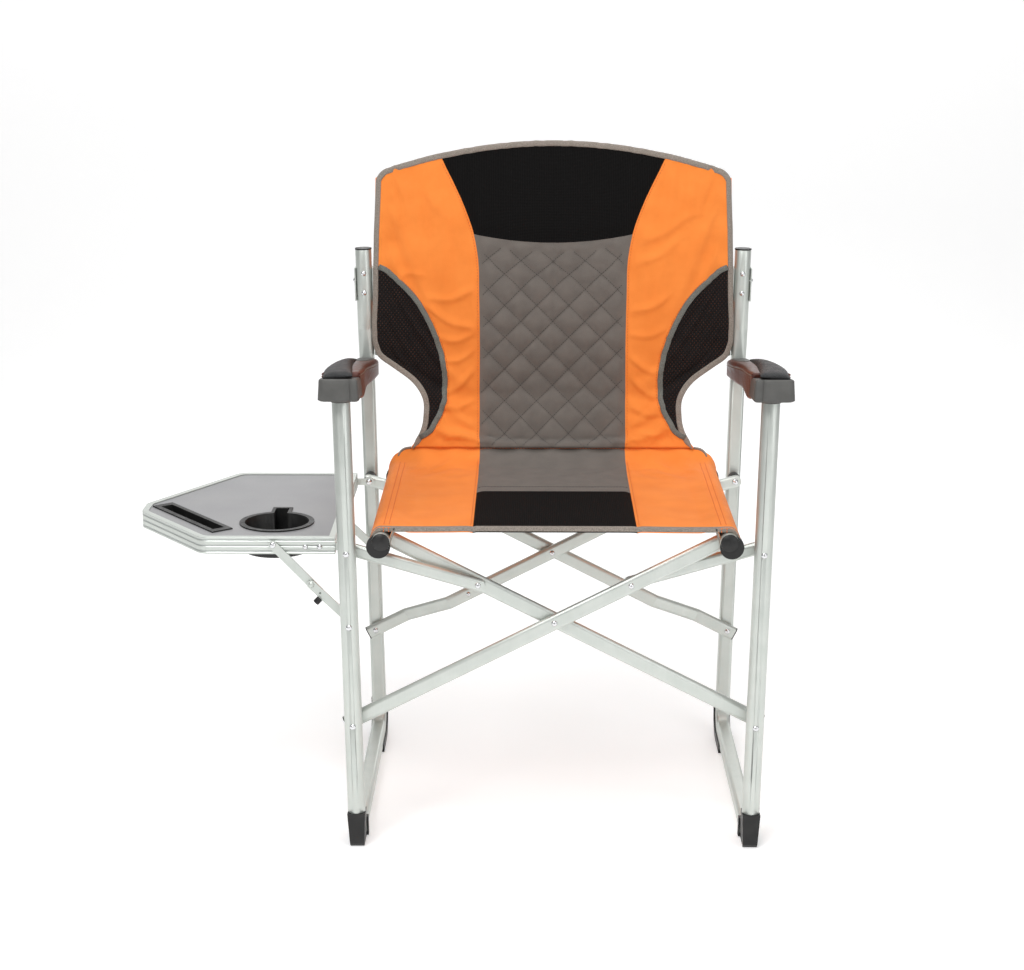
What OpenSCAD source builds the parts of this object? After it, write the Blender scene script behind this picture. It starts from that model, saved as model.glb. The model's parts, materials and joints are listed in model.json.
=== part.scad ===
// Folding director chair with a fold-down side table.
// Millimetres. +X is the side without the table, on the right when seen from the front; +Y is the back; +Z is up.
// Each side frame is drawn once in its own plane, for the side without the table, and mirrored for the other.

/* [Stance] */
// Half the spacing of the front legs, at the height where the splay turns
leg_half = 283.5; // [260:0.5:310]
// Height about which each side frame leans outwards
splay_z = 330; // [300:5:360]
// Outward lean of each side frame, in degrees
splay = 1.01; // [0:0.01:2]
// Distance from the front leg's axis to the rear upright's axis
frame_depth = 440; // [430:1:450]

/* [Side frames] */
// Radius of the round tubes
tube_r = 12.5; // [12:0.1:13]
// Wall of the round and square tubes
tube_wall = 1.6; // [1.2:0.1:2]
// Width of the square part of the rear upright
square_w = 22; // [20:0.5:23]
// Height of the top of the rear upright
upright_top = 788; // [770:1:800]
// Radius of the heel bend, on the tube's centreline
heel_r = 30; // [28:1:34]
// Height of the foot
foot_h = 50; // [46:1:56]

/* [Armrests] */
// Width of the armrest at its nose
arm_w = 55; // [50:1:60]
// Width of the armrest at the upright
arm_rear_w = 39; // [36:1:44]
// Fall of the armrest from front to rear, in mm per mm
arm_slope = 0.1395; // [0.12:0.005:0.15]

/* [Scissor] */
// Height of the pivots where the crossed tubes meet the side frames
low_pivot_z = 180; // [175:1:185]
// Height of the pivots where the links meet the side frames
link_pivot_z = 430.4; // [428:0.2:433]
// Height of the point where the crossed tubes cross
cross_z = 324.3; // [322:0.1:326]
// Distance from the crossing to a seat rail
rail_reach = 267.8; // [262:0.2:272]
// Distance from the crossing to a link's pivot
link_reach = 119.2; // [116:0.2:122]
// Width of the flat-oval crossed tubes
flat_w = 22; // [20:0.5:24]
// Thickness of the flat-oval crossed tubes
flat_t = 11; // [10:0.5:11]
// Width of the flat-oval links
link_w = 19; // [17:0.5:20]

/* [Side table] */
// Distance from the chair's middle to the table's outer edge
table_reach = 597; // [580:1:610]
// Height of the table's upper face
table_top_z = 444; // [443:1:445]
// Height of the table's edge profile
table_h = 24; // [22:1:26]
// Radius of the cup holder's well
cup_r = 45.4; // [44:0.1:47]
// Depth of the cup holder's well below the rim
cup_depth = 39; // [32:1:42]

/* [Back] */
// Height of the bolt on which the backrest swivels
back_pivot_z = 740.5; // [735:0.5:745]
// Radius of the backrest's poles
pole_r = 9.5; // [9:0.1:10]
// Highest point of the backrest
back_top_z = 951; // [930:1:960]

/* [Hidden] */
$fn = 64;

LEFT = -1;
RIGHT = 1;
FRONT = 0;
REAR = 1;

// How far the chair's own axes lie from the origin, which is under the middle of its bounding box
outer_x = side_x(680) + arm_w / 2;
nose_y = -45;
rear_y = 457;
shift_x = (table_reach - outer_x) / 2;
shift_y = -(nose_y + rear_y) / 2;

// Fits
run_gap = 0.05;
pin_r = 3;
head_r = 4.4;
head_h = 2.6;

// Colours
ALU = [0.84, 0.87, 0.84];
ZINC = [0.80, 0.80, 0.80];
BLACK = [0.12, 0.12, 0.12];
CHARCOAL = [0.20, 0.20, 0.20];
BROWN = [0.34, 0.18, 0.13];
ORANGE = [1.0, 0.55, 0.2];
GREY = [0.62, 0.62, 0.64];

// A point of a side frame, at height z in the frame's own plane, seen in the chair's axes
function side_x(z) = leg_half + (z - splay_z) * sin(splay);
function side_z(z) = splay_z + (z - splay_z) * cos(splay);

// Scissor geometry
low_x = side_x(low_pivot_z);
low_z = side_z(low_pivot_z);
cross_angle = atan2(cross_z - low_z, low_x);
low_reach = norm([low_x, cross_z - low_z]);
rail_x = rail_reach * cos(cross_angle);
rail_z = cross_z + rail_reach * sin(cross_angle);
link_x = link_reach * cos(cross_angle);
link_z = cross_z + link_reach * sin(cross_angle);
link_dx = side_x(link_pivot_z) - link_x;
link_dz = side_z(link_pivot_z) - link_z;
link_len = norm([link_dx, link_dz]);
link_angle = atan2(link_dz, link_dx);

// Layers from the front leg backwards, as [front face, back face] of each flat piece
layer_a = [[13.5, 24.5], [365.5, 376.5]];
layer_b = [[25.5, 36.5], [377.5, 388.5]];
layer_end = [417.5, 428.5];
layer_link_left = [[14, 24], [400, 410]];
layer_link_right = [[26, 36], [400, 410]];
layer_arm = [[27.6, 30.6], [394.9, 397.9]];
layer_strut_low = [[18.5, 21.5], [404, 407]];
layer_strut_up = [[22, 25], [400.5, 403.5]];
leg_back = tube_r;
upright_front = frame_depth - square_w / 2;
pivot_past = 12;
flat_wall = 1.3;
crank_from = 56;
crank_to = 134;

// Seat rails
rail_wall = 1.5;
rail_front = -8;
rail_back = 395.5;
cap_t = 3.5;

// Uprights and feet
leg_top = 664;
runner_z = 4 + square_w / 2;
runner_front = 24.2;
taper_z = [605, 665];
corner_r = 5;
guard_t = 4.2;
guard_flange = 8.1;
guard_rivet_z = 48;
sole = -0.5;

// Saddles, the cradles on the links that carry the rails
saddle_r = 16.5;
saddle_drop = 7.87;
saddle_slot_r = 14;
saddle_front = 12.8;
saddle_rear = [389.3, 399.5];
collar_y = [-6, -0.6];
mouth_angle = 90 + cross_angle;

// Side table outline, from the inner front corner outwards
table_front = 25.5;
table_rear = 400;
table_inner = 303.6;
table_corner_r = 24;
table_wall = 2;
table_lip = 9;
front_chamfer = [[490, table_front], [table_reach, 165]];
rear_chamfer = [[table_reach, 210], [485, table_rear]];
cup_x = 394;
cup_y = 110;
cup_wall = 2;
rim_r = 53;
rim_t = 2;
handle_w = 19;
handle_reach = 72;
tray_x = 519;
tray_y = 134;
tray_len = 155;
tray_w = 18;
tray_rim = [179, 33];
tray_depth = 17;
tray_angle = atan2(front_chamfer[1][1] - front_chamfer[0][1], front_chamfer[1][0] - front_chamfer[0][0]);
board_z = [table_top_z - 19, table_top_z - 1.5];
rivet_x = [325, 345];
arm_plate_h = 10.4;
arm_plate_end = 356;

// Table struts
strut_w = 12;
strut_top = [389.7, 433.7];
strut_knee = [337.2, 378.0];
strut_low_z = 325.3;
strut_foot = [side_x(strut_low_z), side_z(strut_low_z)];
knob_back = 22;
knob_y = [17.25, 408.6];
knob_r = 4.5;
knob_h = 7.5;

// Backrest
plate_t = 2;
bracket_z = [709, 760];
bracket_screws_z = [722, 752];
pole_in = 27.8;
pole_lean = 2.9;
pole_wall = 1.3;
pole_z = [623, 897];

/* ---------- helpers ---------- */

// Moves the chair's own axes to the origin under its middle
module place() {
    translate([shift_x, shift_y, 0]) children();
}

// Puts a piece drawn in the right side frame's plane on one side of the chair
module on_side(side) {
    mirror([side < 0 ? 1 : 0, 0, 0])
        translate([leg_half, 0, splay_z]) rotate([0, splay, 0]) translate([0, 0, -splay_z]) children();
}

// Flips a piece drawn for the right to the left
module flip(side) {
    mirror([side < 0 ? 1 : 0, 0, 0]) children();
}

// Round bar along Y
module rod_y(x, z, r, y0, y1) {
    translate([x, y0, z]) rotate([-90, 0, 0]) cylinder(r = r, h = y1 - y0);
}

// Round bar along X
module rod_x(y, z, r, x0, x1) {
    translate([x0, y, z]) rotate([0, 90, 0]) cylinder(r = r, h = x1 - x0);
}

// Domed head standing up from the XY plane
module dome(r, h) {
    ball_r = (r * r + h * h) / (2 * h);
    intersection() {
        translate([0, 0, h - ball_r]) sphere(r = ball_r);
        cylinder(r = r, h = h);
    }
}

// Domed heads that face the front (dir = -1) or the back (dir = 1)
module dome_y(x, z, y, dir, r = head_r, h = head_h) {
    translate([x, y, z]) rotate([dir < 0 ? 90 : -90, 0, 0]) dome(r, h);
}

// Flat-oval outline, w across and t thick
module flat_oval(w, t) {
    square([w - t, t], center = true);
    for (side = [-1, 1]) translate([side * (w - t) / 2, 0]) circle(d = t);
}

// Square outline with round corners
module soft_square(w, r) {
    square([w - 2 * r, w], center = true);
    square([w, w - 2 * r], center = true);
    for (x = [-1, 1], y = [-1, 1]) translate([x * (w / 2 - r), y * (w / 2 - r)]) circle(r = r);
}

// Straight flat-oval bar from s0 to s1 along X, its middle plane at y
module oval_bar(s0, s1, y, w, t) {
    translate([s0, y, 0]) rotate([0, 90, 0]) linear_extrude(s1 - s0) flat_oval(w, t);
}

// Points round a flat oval, w across and t thick, with steps points on each round end
function oval_ring(w, t, steps = 16) = [
    for (end = [1, -1], i = [0:steps]) let (a = -90 * end + 180 * i / steps)
        [end * (w - t) / 2 + t / 2 * cos(a), t / 2 * sin(a)]
];

// Flat-oval tube along X through the stations, given as [x, y]
module cranked_tube(stations, w, t, wall) {
    outer = oval_ring(w, t);
    inner = oval_ring(w - 2 * wall, t - 2 * wall);
    n = len(outer);
    last = len(stations) - 1;
    points = [for (ring = [outer, inner], s = stations, p = ring) [s[0], s[1] + p[1], p[0]]];
    function at(shell, station, i) = (shell * (last + 1) + station) * n + i % n;
    polyhedron(points, concat(
        [for (k = [0:last - 1], i = [0:n - 1])
            [at(0, k, i), at(0, k + 1, i), at(0, k + 1, i + 1), at(0, k, i + 1)]],
        [for (k = [0:last - 1], i = [0:n - 1])
            [at(1, k, i + 1), at(1, k + 1, i + 1), at(1, k + 1, i), at(1, k, i)]],
        [for (i = [0:n - 1]) [at(0, 0, i), at(0, 0, i + 1), at(1, 0, i + 1), at(1, 0, i)]],
        [for (i = [0:n - 1]) [at(1, last, i), at(1, last, i + 1), at(0, last, i + 1), at(0, last, i)]]
    ));
}

function mid(layer) = (layer[0] + layer[1]) / 2;

/* ---------- side frames ---------- */

module leg(side) {
    color(ALU) place() on_side(side) difference() {
        translate([0, 0, foot_h]) cylinder(r = tube_r, h = leg_top - foot_h);
        translate([0, 0, foot_h - 1]) cylinder(r = tube_r - tube_wall, h = leg_top - foot_h + 2);
        rod_y(0, low_pivot_z, pin_r + run_gap, -20, 20);
        rod_y(0, link_pivot_z, pin_r + run_gap, -20, 20);
        if (side < 0) rod_y(0, strut_low_z, pin_r + run_gap, -20, 20);
    }
}

// The upright's outline at its square end and at its round end, joined over a short taper
module upright_taper(inset) {
    hull() {
        translate([0, frame_depth, taper_z[0]]) linear_extrude(0.5)
            soft_square(square_w - 2 * inset, corner_r - inset, $fn = 32);
        translate([0, frame_depth, taper_z[1] - 0.5]) cylinder(r = tube_r - inset, h = 0.5);
    }
}

// The bent tube from the foot round the heel and up to its top, less the taper
module upright_core(inset) {
    square_r = corner_r - inset;
    translate([0, frame_depth, runner_z + heel_r]) linear_extrude(taper_z[0] - runner_z - heel_r)
        soft_square(square_w - 2 * inset, square_r);
    translate([0, frame_depth - heel_r, runner_z + heel_r]) rotate([0, 90, 0])
        rotate_extrude(angle = 90) translate([heel_r, 0]) soft_square(square_w - 2 * inset, square_r);
    translate([0, runner_front, runner_z]) rotate([-90, 0, 0])
        linear_extrude(frame_depth - heel_r - runner_front) soft_square(square_w - 2 * inset, square_r);
    translate([0, frame_depth, taper_z[1]]) cylinder(r = tube_r - inset, h = upright_top - taper_z[1]);
}

module upright(side) {
    color(ALU) place() on_side(side) difference() {
        union() {
            upright_core(0);
            upright_taper(0);
        }
        upright_core(tube_wall);
        upright_taper(tube_wall);
        // open ends
        translate([0, frame_depth, upright_top - 1]) cylinder(r = tube_r - tube_wall, h = 2);
        translate([0, runner_front - 0.2, runner_z]) rotate([-90, 0, 0]) linear_extrude(1)
            soft_square(square_w - 2 * tube_wall, corner_r - tube_wall);
        for (z = [low_pivot_z, link_pivot_z]) rod_y(0, z, pin_r + run_gap, frame_depth - 20, frame_depth + 20);
        if (side < 0) rod_y(0, strut_low_z, pin_r + run_gap, frame_depth - 20, frame_depth + 20);
        for (z = bracket_screws_z) rod_y(0, z, 2.5 + run_gap, frame_depth - 20, frame_depth + 20);
        rod_x(frame_depth, back_pivot_z, pin_r + run_gap, -20, 20);
        rod_y(0, arm_tube_z(frame_depth), 2.5 + run_gap, frame_depth - 20, frame_depth + 20);
        rod_y(0, guard_rivet_z, 2 + run_gap, frame_depth - 20, frame_depth + 20);
    }
}

// Everything below the floor, which the feet and heel guards are trimmed to
module below_floor() {
    translate([-400, -60, -20]) cube([800, 600, 20]);
}

// Boot moulded round the leg's lower end, with the nose that the lower tube plugs into
module foot_body() {
    difference() {
        union() {
            intersection() {
                rotate([90, 0, 0]) translate([0, 0, -60]) linear_extrude(120)
                    polygon([[-12.6, foot_h], [12.6, foot_h], [10, sole], [-10, sole]]);
                rotate([90, 0, 90]) translate([0, 0, -20]) linear_extrude(40) polygon([
                    [-13, foot_h], [13, foot_h], [13, 36], [34, 30], [34, 2], [32, sole], [-8, sole], [-13, 5]
                ]);
            }
            translate([-13.4, 25, 1.5]) cube([26.8, 10, 28]);
        }
        translate([0, runner_front - 0.2, runner_z]) rotate([-90, 0, 0]) linear_extrude(20)
            soft_square(square_w + 0.2, corner_r);
        translate([0, 0, -1]) cylinder(r = 3, h = 4);
    }
    // plugs into the two tubes
    translate([0, 0, foot_h]) cylinder(r = tube_r - tube_wall - 0.1, h = 22);
    translate([0, runner_front - 0.2, runner_z]) rotate([-90, 0, 0]) linear_extrude(18)
        soft_square(square_w - 2 * tube_wall - 0.2, corner_r - tube_wall);
}

module foot(side) {
    color(BLACK) place() difference() {
        on_side(side) foot_body();
        below_floor();
    }
}

// Side view of the heel guard between two radii, as [y, z]
module heel_band(r0, r1) {
    heel_y = frame_depth - heel_r;
    heel_z = runner_z + heel_r;
    intersection() {
        translate([heel_y, heel_z]) difference() {
            circle(r = r1);
            circle(r = r0);
        }
        translate([heel_y, heel_z - 60]) square([60, 60]);
    }
    translate([heel_y - 62, heel_z - r1]) square([62, r1 - r0]);
    translate([heel_y + r0, heel_z]) square([r1 - r0, 12]);
}

module heel_guard(side) {
    outer = heel_r + square_w / 2 + 0.1 + guard_t;
    color(BLACK) place() difference() {
        on_side(side) difference() {
            union() {
                rotate([90, 0, 90]) translate([0, 0, -13]) linear_extrude(26) heel_band(outer - guard_t, outer);
                for (x = [-13, 11.1]) rotate([90, 0, 90]) translate([0, 0, x]) linear_extrude(1.9)
                    heel_band(outer - guard_t - guard_flange, outer);
            }
            rod_y(0, guard_rivet_z, 2 + run_gap, frame_depth - 20, frame_depth + 20);
        }
        below_floor();
    }
}

module upright_cap(side) {
    color(BLACK) place() on_side(side) translate([0, frame_depth, 0]) {
        translate([0, 0, upright_top]) cylinder(r = tube_r + 0.3, h = 2.2);
        translate([0, 0, upright_top - 16]) cylinder(r = tube_r - tube_wall - 0.1, h = 16.5);
    }
}

/* ---------- armrests ---------- */

function arm_top(y) = 688 - arm_slope * (y + 50);
function arm_tube_z(y) = arm_tube_top - (y - 14) * arm_tube_fall;
arm_tube_top = 661;
arm_tube_fall = 0.1235;
arm_rear = 426.5;
nose_back = 18;
pad_back = 150;
pad_t = 7;

// Armrest seen from above, tapering from the nose to the upright
module arm_plan(inset = 0) {
    front = arm_w / 2 - inset;
    rear = arm_rear_w / 2 - inset;
    polygon([
        [-front, nose_y], [front, nose_y], [front, 60], [rear, 220], [rear, arm_rear],
        [-rear, arm_rear], [-rear, 220], [-front, 60]
    ]);
}

// Extrudes a side view, given as [y, z], across the armrest and trims it to the plan
module arm_block(side_view, inset = 0) {
    intersection() {
        rotate([90, 0, 90]) translate([0, 0, -40]) linear_extrude(80) polygon(side_view);
        translate([0, 0, 560]) linear_extrude(160) arm_plan(inset);
    }
}

// Runs along the middle of the armrest
module arm_core(r, y0, y1) {
    fall = atan(arm_tube_fall);
    translate([0, y0, arm_tube_z(y0)]) rotate([-90 - fall, 0, 0]) cylinder(r = r, h = (y1 - y0) / cos(fall));
}

module arm_tube(side) {
    color(ALU) place() on_side(side) difference() {
        arm_core(8, 14.5, 424.5);
        arm_core(6.6, 10, 430);
    }
}

module armrest(side) {
    color(BROWN) place() on_side(side) difference() {
        arm_block([
            [nose_back, arm_top(nose_back) - pad_t], [pad_back, arm_top(pad_back) - pad_t],
            [pad_back, arm_top(pad_back)], [arm_rear, arm_top(arm_rear)],
            [arm_rear, 598], [270, 617], [175, 629], [80, 640], [nose_back, 646]
        ]);
        arm_core(8.1, 0, 440);
    }
}

module armrest_pad(side) {
    color(CHARCOAL) place() on_side(side) arm_block([
        [nose_y + 9, arm_top(nose_y + 9) - pad_t + 0.05], [nose_y + 9, arm_top(nose_y + 9)],
        [pad_back - 0.1, arm_top(pad_back)], [pad_back - 0.1, arm_top(pad_back) - pad_t + 0.05]
    ], 3);
}

module armrest_nose(side) {
    color(BLACK) place() on_side(side) difference() {
        union() {
            arm_block([
                [nose_y, 649.5], [nose_y, arm_top(nose_y) - pad_t],
                [nose_back - 0.1, arm_top(nose_back) - pad_t], [nose_back - 0.1, 646]
            ]);
            translate([0, 0, 639]) cylinder(r = tube_r + 2.2, h = 12);
        }
        translate([0, 0, 630]) cylinder(r = tube_r + 0.05, h = 34.1);
        arm_core(8.1, 10, 40);
    }
}

/* ---------- backrest ---------- */

module back_bracket(side) {
    half = tube_r + 0.1 + plate_t;
    color(ALU) place() on_side(side) difference() {
        translate([-half, frame_depth - 8, bracket_z[0]])
            cube([2 * half, tube_r + 8.1 + plate_t, bracket_z[1] - bracket_z[0]]);
        translate([-half + plate_t, frame_depth - 9, bracket_z[0] - 1])
            cube([2 * (half - plate_t), tube_r + 9.1, bracket_z[1] - bracket_z[0] + 2]);
        for (z = bracket_screws_z) rod_y(0, z, 2.5 + run_gap, frame_depth, frame_depth + 30);
        rod_x(frame_depth, back_pivot_z, pin_r + run_gap, -30, 30);
    }
}

module bracket_screws(side) {
    half = tube_r + 0.1 + plate_t;
    color(ZINC) place() on_side(side) {
        for (z = bracket_screws_z) {
            rod_y(0, z, 2.5, frame_depth - tube_r, frame_depth + half);
            dome_y(0, z, frame_depth - tube_r, -1, 4, 2.4);
            dome_y(0, z, frame_depth + half, 1, 4, 2.2);
        }
        // swivel bolt of the backrest
        rod_x(frame_depth, back_pivot_z, pin_r, -pole_in - pole_r - 1, half);
        translate([half, frame_depth, back_pivot_z]) rotate([0, 90, 0]) dome(4.6, 2.8);
        rod_x(frame_depth, back_pivot_z, 5, -pole_in - pole_r - 2.3, -pole_in - pole_r - 0.5);
    }
}

// A backrest pole's outline, leaning inwards about its swivel bolt
module pole_solid(r, end_gap = 0) {
    translate([-pole_in, frame_depth, back_pivot_z]) rotate([0, -pole_lean, 0])
        translate([0, 0, pole_z[0] + end_gap - back_pivot_z])
            cylinder(r = r, h = pole_z[1] - pole_z[0] - 2 * end_gap);
}

module back_pole(side) {
    color(ALU) place() on_side(side) difference() {
        pole_solid(pole_r);
        pole_solid(pole_r - pole_wall, pole_wall);
        rod_x(frame_depth, back_pivot_z, pin_r + run_gap, -pole_in - 20, -pole_in + 20);
    }
}

/* ---------- pivots of the side frames ---------- */

// Rivets through a leg and an upright; each runs from its head to the last piece that it carries
module frame_rivets(side) {
    tube_layer = side < 0 ? layer_a : layer_b;
    link_layer = side < 0 ? layer_link_left : layer_link_right;
    link_end = side < 0 ? layer_arm[FRONT][1] : link_layer[FRONT][1];
    rear_head = side < 0 ? layer_arm[REAR][0] - 0.1 : link_layer[REAR][0];
    color(ZINC) place() on_side(side) {
        dome_y(0, low_pivot_z, -tube_r + 0.3, -1);
        rod_y(0, low_pivot_z, pin_r, -tube_r, tube_layer[FRONT][1]);
        dome_y(0, low_pivot_z, tube_layer[FRONT][1] + 0.1, 1, head_r, 1.6);
        dome_y(0, link_pivot_z, -tube_r + 0.3, -1);
        rod_y(0, link_pivot_z, pin_r, -tube_r, link_end);
        dome_y(0, link_pivot_z, link_end + 0.1, 1, head_r, 1.6);
        dome_y(0, low_pivot_z, layer_end[0] - 0.1, -1);
        rod_y(0, low_pivot_z, pin_r, layer_end[0] - 0.2, frame_depth + square_w / 2);
        dome_y(0, low_pivot_z, frame_depth + square_w / 2, 1, head_r, 1.8);
        dome_y(0, link_pivot_z, rear_head - 0.1, -1, 5, 3);
        rod_y(0, link_pivot_z, pin_r, rear_head - 0.2, frame_depth + square_w / 2);
        dome_y(0, link_pivot_z, frame_depth + square_w / 2, 1, head_r, 1.8);
        if (side < 0) {
            dome_y(0, strut_low_z, -tube_r + 0.3, -1);
            rod_y(0, strut_low_z, pin_r, -tube_r, layer_strut_low[FRONT][1]);
            rod_y(0, strut_low_z, pin_r, layer_strut_low[REAR][0], frame_depth + square_w / 2);
            dome_y(0, strut_low_z, frame_depth + square_w / 2, 1, head_r, 1.8);
        }
        // heel guard rivet and the screw that holds the arm tube to the upright
        dome_y(0, guard_rivet_z, frame_depth - square_w / 2, -1, 4, 2.2);
        rod_y(0, guard_rivet_z, 2, frame_depth - square_w / 2, frame_depth + square_w / 2 + 3.9);
        rod_y(0, arm_tube_z(frame_depth), 2.5, 426, frame_depth + square_w / 2 + 1);
        dome_y(0, arm_tube_z(frame_depth), frame_depth + square_w / 2 + 0.9, 1, 4, 2.2);
    }
}

// Black spacer rings on the rivets, between each tube and what turns on it
module spacer(z, y0, y1, r = 7) {
    difference() {
        rod_y(0, z, r, y0, y1);
        rod_y(0, z, pin_r + run_gap, y0 - 1, y1 + 1);
    }
}

module pivot_spacers(side) {
    tube_layer = side < 0 ? layer_a : layer_b;
    link_layer = side < 0 ? layer_link_left : layer_link_right;
    color(BLACK) place() on_side(side) {
        difference() {
            union() {
                spacer(low_pivot_z, 8, tube_layer[FRONT][0] - 0.1);
                spacer(link_pivot_z, 8, link_layer[FRONT][0] - 0.1);
                if (side < 0) spacer(strut_low_z, 8, layer_strut_low[FRONT][0] - 0.1, 6);
            }
            translate([0, 0, 100]) cylinder(r = tube_r + 0.02, h = 400);
        }
        spacer(link_pivot_z, link_layer[REAR][1] + 0.1, upright_front - 0.02, 9);
        if (side < 0) {
            spacer(link_pivot_z, layer_link_left[FRONT][1] + 0.1, layer_arm[FRONT][0] - 0.1, 6);
            spacer(strut_low_z, layer_strut_low[REAR][1] + 0.1, upright_front - 0.02, 6);
        }
        difference() {
            rod_x(frame_depth, back_pivot_z, 8, -pole_in + pole_r - 2, -tube_r - plate_t - 0.15);
            rod_x(frame_depth, back_pivot_z, pin_r + run_gap, -40, 0);
            pole_solid(pole_r + 0.3);
        }
    }
}

/* ---------- scissor ---------- */

// Lays a piece drawn along X on one of the crossed tubes, from its low pivot; dir = 1 rises to the right
module on_tube(dir) {
    flip(dir) translate([-low_x, 0, low_z]) rotate([0, -cross_angle, 0]) children();
}

tube_len = low_reach + rail_reach;

module tube_holes(layer) {
    for (s = [0, low_reach, low_reach + link_reach]) rod_y(s, 0, pin_r + run_gap, layer[0] - 60, layer[1] + 60);
    rod_y(tube_len, 0, tube_r, layer[0] - 60, layer[1] + 60);
}

module cross_tube_front(dir, layer) {
    color(ALU) place() on_tube(dir) difference() {
        oval_bar(-pivot_past, tube_len - 4, mid(layer), flat_w, flat_t);
        oval_bar(
            -pivot_past - 1, tube_len + 1, mid(layer), flat_w - 2 * flat_wall, flat_t - 2 * flat_wall
        );
        tube_holes(layer);
    }
}

module cross_tube_rear(dir, layer) {
    y_end = mid(layer_end);
    color(ALU) place() on_tube(dir) difference() {
        cranked_tube(
            [[-pivot_past, y_end], [crank_from, y_end], [crank_to, mid(layer)], [tube_len - 4, mid(layer)]],
            flat_w - 1, flat_t, flat_wall
        );
        tube_holes(layer);
    }
}

module tube_plugs(dir, layer) {
    color(BLACK) place() on_tube(dir) {
        oval_bar(-pivot_past - 1.5, -pivot_past, mid(layer), flat_w, flat_t);
        oval_bar(-pivot_past - 0.1, -pivot_past + 6, mid(layer), flat_w - 2.8, flat_t - 2.8);
        oval_bar(-pivot_past - 1.5, -pivot_past, mid(layer_end), flat_w - 1, flat_t);
        oval_bar(-pivot_past - 0.1, -pivot_past + 6, mid(layer_end), flat_w - 3.8, flat_t - 2.8);
    }
}

module seat_rail(side) {
    color(ALU) place() flip(side) difference() {
        rod_y(rail_x, rail_z, tube_r, rail_front, rail_back);
        rod_y(rail_x, rail_z, tube_r - rail_wall, rail_front - 1, rail_back + 1);
    }
}

// End plugs of a seat rail, and the collar at its front end
module rail_caps(side) {
    color(BLACK) place() flip(side) {
        dome_y(rail_x, rail_z, rail_front, -1, tube_r, cap_t);
        rod_y(rail_x, rail_z, tube_r - rail_wall - 0.1, rail_front - 0.5, rail_front + 14);
        dome_y(rail_x, rail_z, rail_back, 1, tube_r, cap_t);
        rod_y(rail_x, rail_z, tube_r - rail_wall - 0.1, rail_back - 14, rail_back + 0.5);
        difference() {
            cradle_block(collar_y[0], collar_y[1]);
            rail_mouth(tube_r + 0.02);
        }
    }
}

// Bolts where the crossed tubes cross, with a thin washer between the tubes
module crossing_bolts() {
    color(ZINC) place() for (end = [FRONT, REAR]) {
        dome_y(0, cross_z, layer_a[end][0], -1);
        rod_y(0, cross_z, pin_r, layer_a[end][0] - 0.2, layer_b[end][1]);
        dome_y(0, cross_z, layer_b[end][1] + 0.1, 1, head_r, 1.8);
        difference() {
            rod_y(0, cross_z, 7, layer_a[end][1] + 0.02, layer_b[end][0] - 0.1);
            rod_y(0, cross_z, pin_r, 0, frame_depth);
        }
    }
}

// Rivets that a crossed tube carries for its link; dir = 1 is the tube that rises to the right.
// A link that turns in front of its tube leaves room for the head only behind the tube.
module tube_rivets(dir) {
    layer = dir > 0 ? layer_a : layer_b;
    s = low_reach + link_reach;
    color(ZINC) place() on_tube(dir) {
        for (end = [FRONT, REAR]) {
            rod_y(s, 0, pin_r, layer[end][0] - 0.2, layer[end][1] + 0.4);
            if (dir < 0 && end == FRONT) dome_y(s, 0, layer[end][1], 1, head_r, 1.8);
            else dome_y(s, 0, layer[end][0], -1);
        }
        if (dir > 0) dome_y(crank_to + 35, 0, layer[REAR][0], -1, 3.6, 2);
    }
}

module link_place(side) {
    flip(side) translate([side_x(link_pivot_z), 0, side_z(link_pivot_z)]) rotate([0, 180 - link_angle, 0])
        children();
}

// Link between a side frame and a crossed tube; its local X runs from the frame to the tube
module link_outline(layer, w, grow = 0) {
    rod_y(0, 0, w / 2 + grow, layer[0] - grow, layer[1] + grow);
    rod_y(link_len, 0, w / 2 + grow, layer[0] - grow, layer[1] + grow);
    translate([0, layer[0] - grow, -w / 2 - grow])
        cube([link_len, layer[1] - layer[0] + 2 * grow, w + 2 * grow]);
}

module link_bar(side, layer) {
    color(ALU) place() link_place(side) difference() {
        intersection() {
            link_outline(layer, link_w);
            oval_bar(-link_w / 2 - 1, link_len + link_w / 2 + 1, mid(layer), link_w, layer[1] - layer[0]);
        }
        oval_bar(12, link_len - 12, mid(layer), link_w - 2.8, layer[1] - layer[0] - 2.8);
        for (s = [0, link_len]) rod_y(s, 0, pin_r + run_gap, layer[0] - 2, layer[1] + 2);
    }
}

// Rivet heads and tails on a link at its crossed-tube end, and the spacers behind the rear tubes
module link_rivets(side) {
    layer = side < 0 ? layer_link_left : layer_link_right;
    tube_layer = side < 0 ? layer_b : layer_a;
    color(ZINC) place() link_place(side) {
        if (side < 0) {
            dome_y(link_len, 0, layer[FRONT][0], -1);
            rod_y(link_len, 0, pin_r, layer[FRONT][0], layer[FRONT][1] + 0.4);
        } else {
            dome_y(link_len, 0, layer[FRONT][1], 1, head_r, 1.8);
            rod_y(link_len, 0, pin_r, layer[FRONT][0] - 0.4, layer[FRONT][1]);
        }
        rod_y(link_len, 0, 6, tube_layer[REAR][1] + 0.6, layer[REAR][0] - 0.02);
        rod_y(link_len, 0, pin_r, layer[REAR][0] - 0.2, layer[REAR][1]);
        dome_y(link_len, 0, layer[REAR][1], 1, head_r, 1.8);
    }
}

// Round block below a seat rail, from y0 to y1; n runs out of its mouth, square to the crossed tube
module cradle_block(y0, y1) {
    rod_y(rail_x - saddle_drop * cos(mouth_angle), rail_z - saddle_drop * sin(mouth_angle), saddle_r, y0, y1);
}

// The room for a rail of radius r in a cradle, open along n
module rail_mouth(r) {
    translate([rail_x, -50, rail_z]) rotate([0, 90 - mouth_angle, 0]) {
        rod_y(0, 0, r, 0, 500);
        translate([-r, 0, 0]) cube([2 * r, 500, 60]);
    }
}

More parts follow.
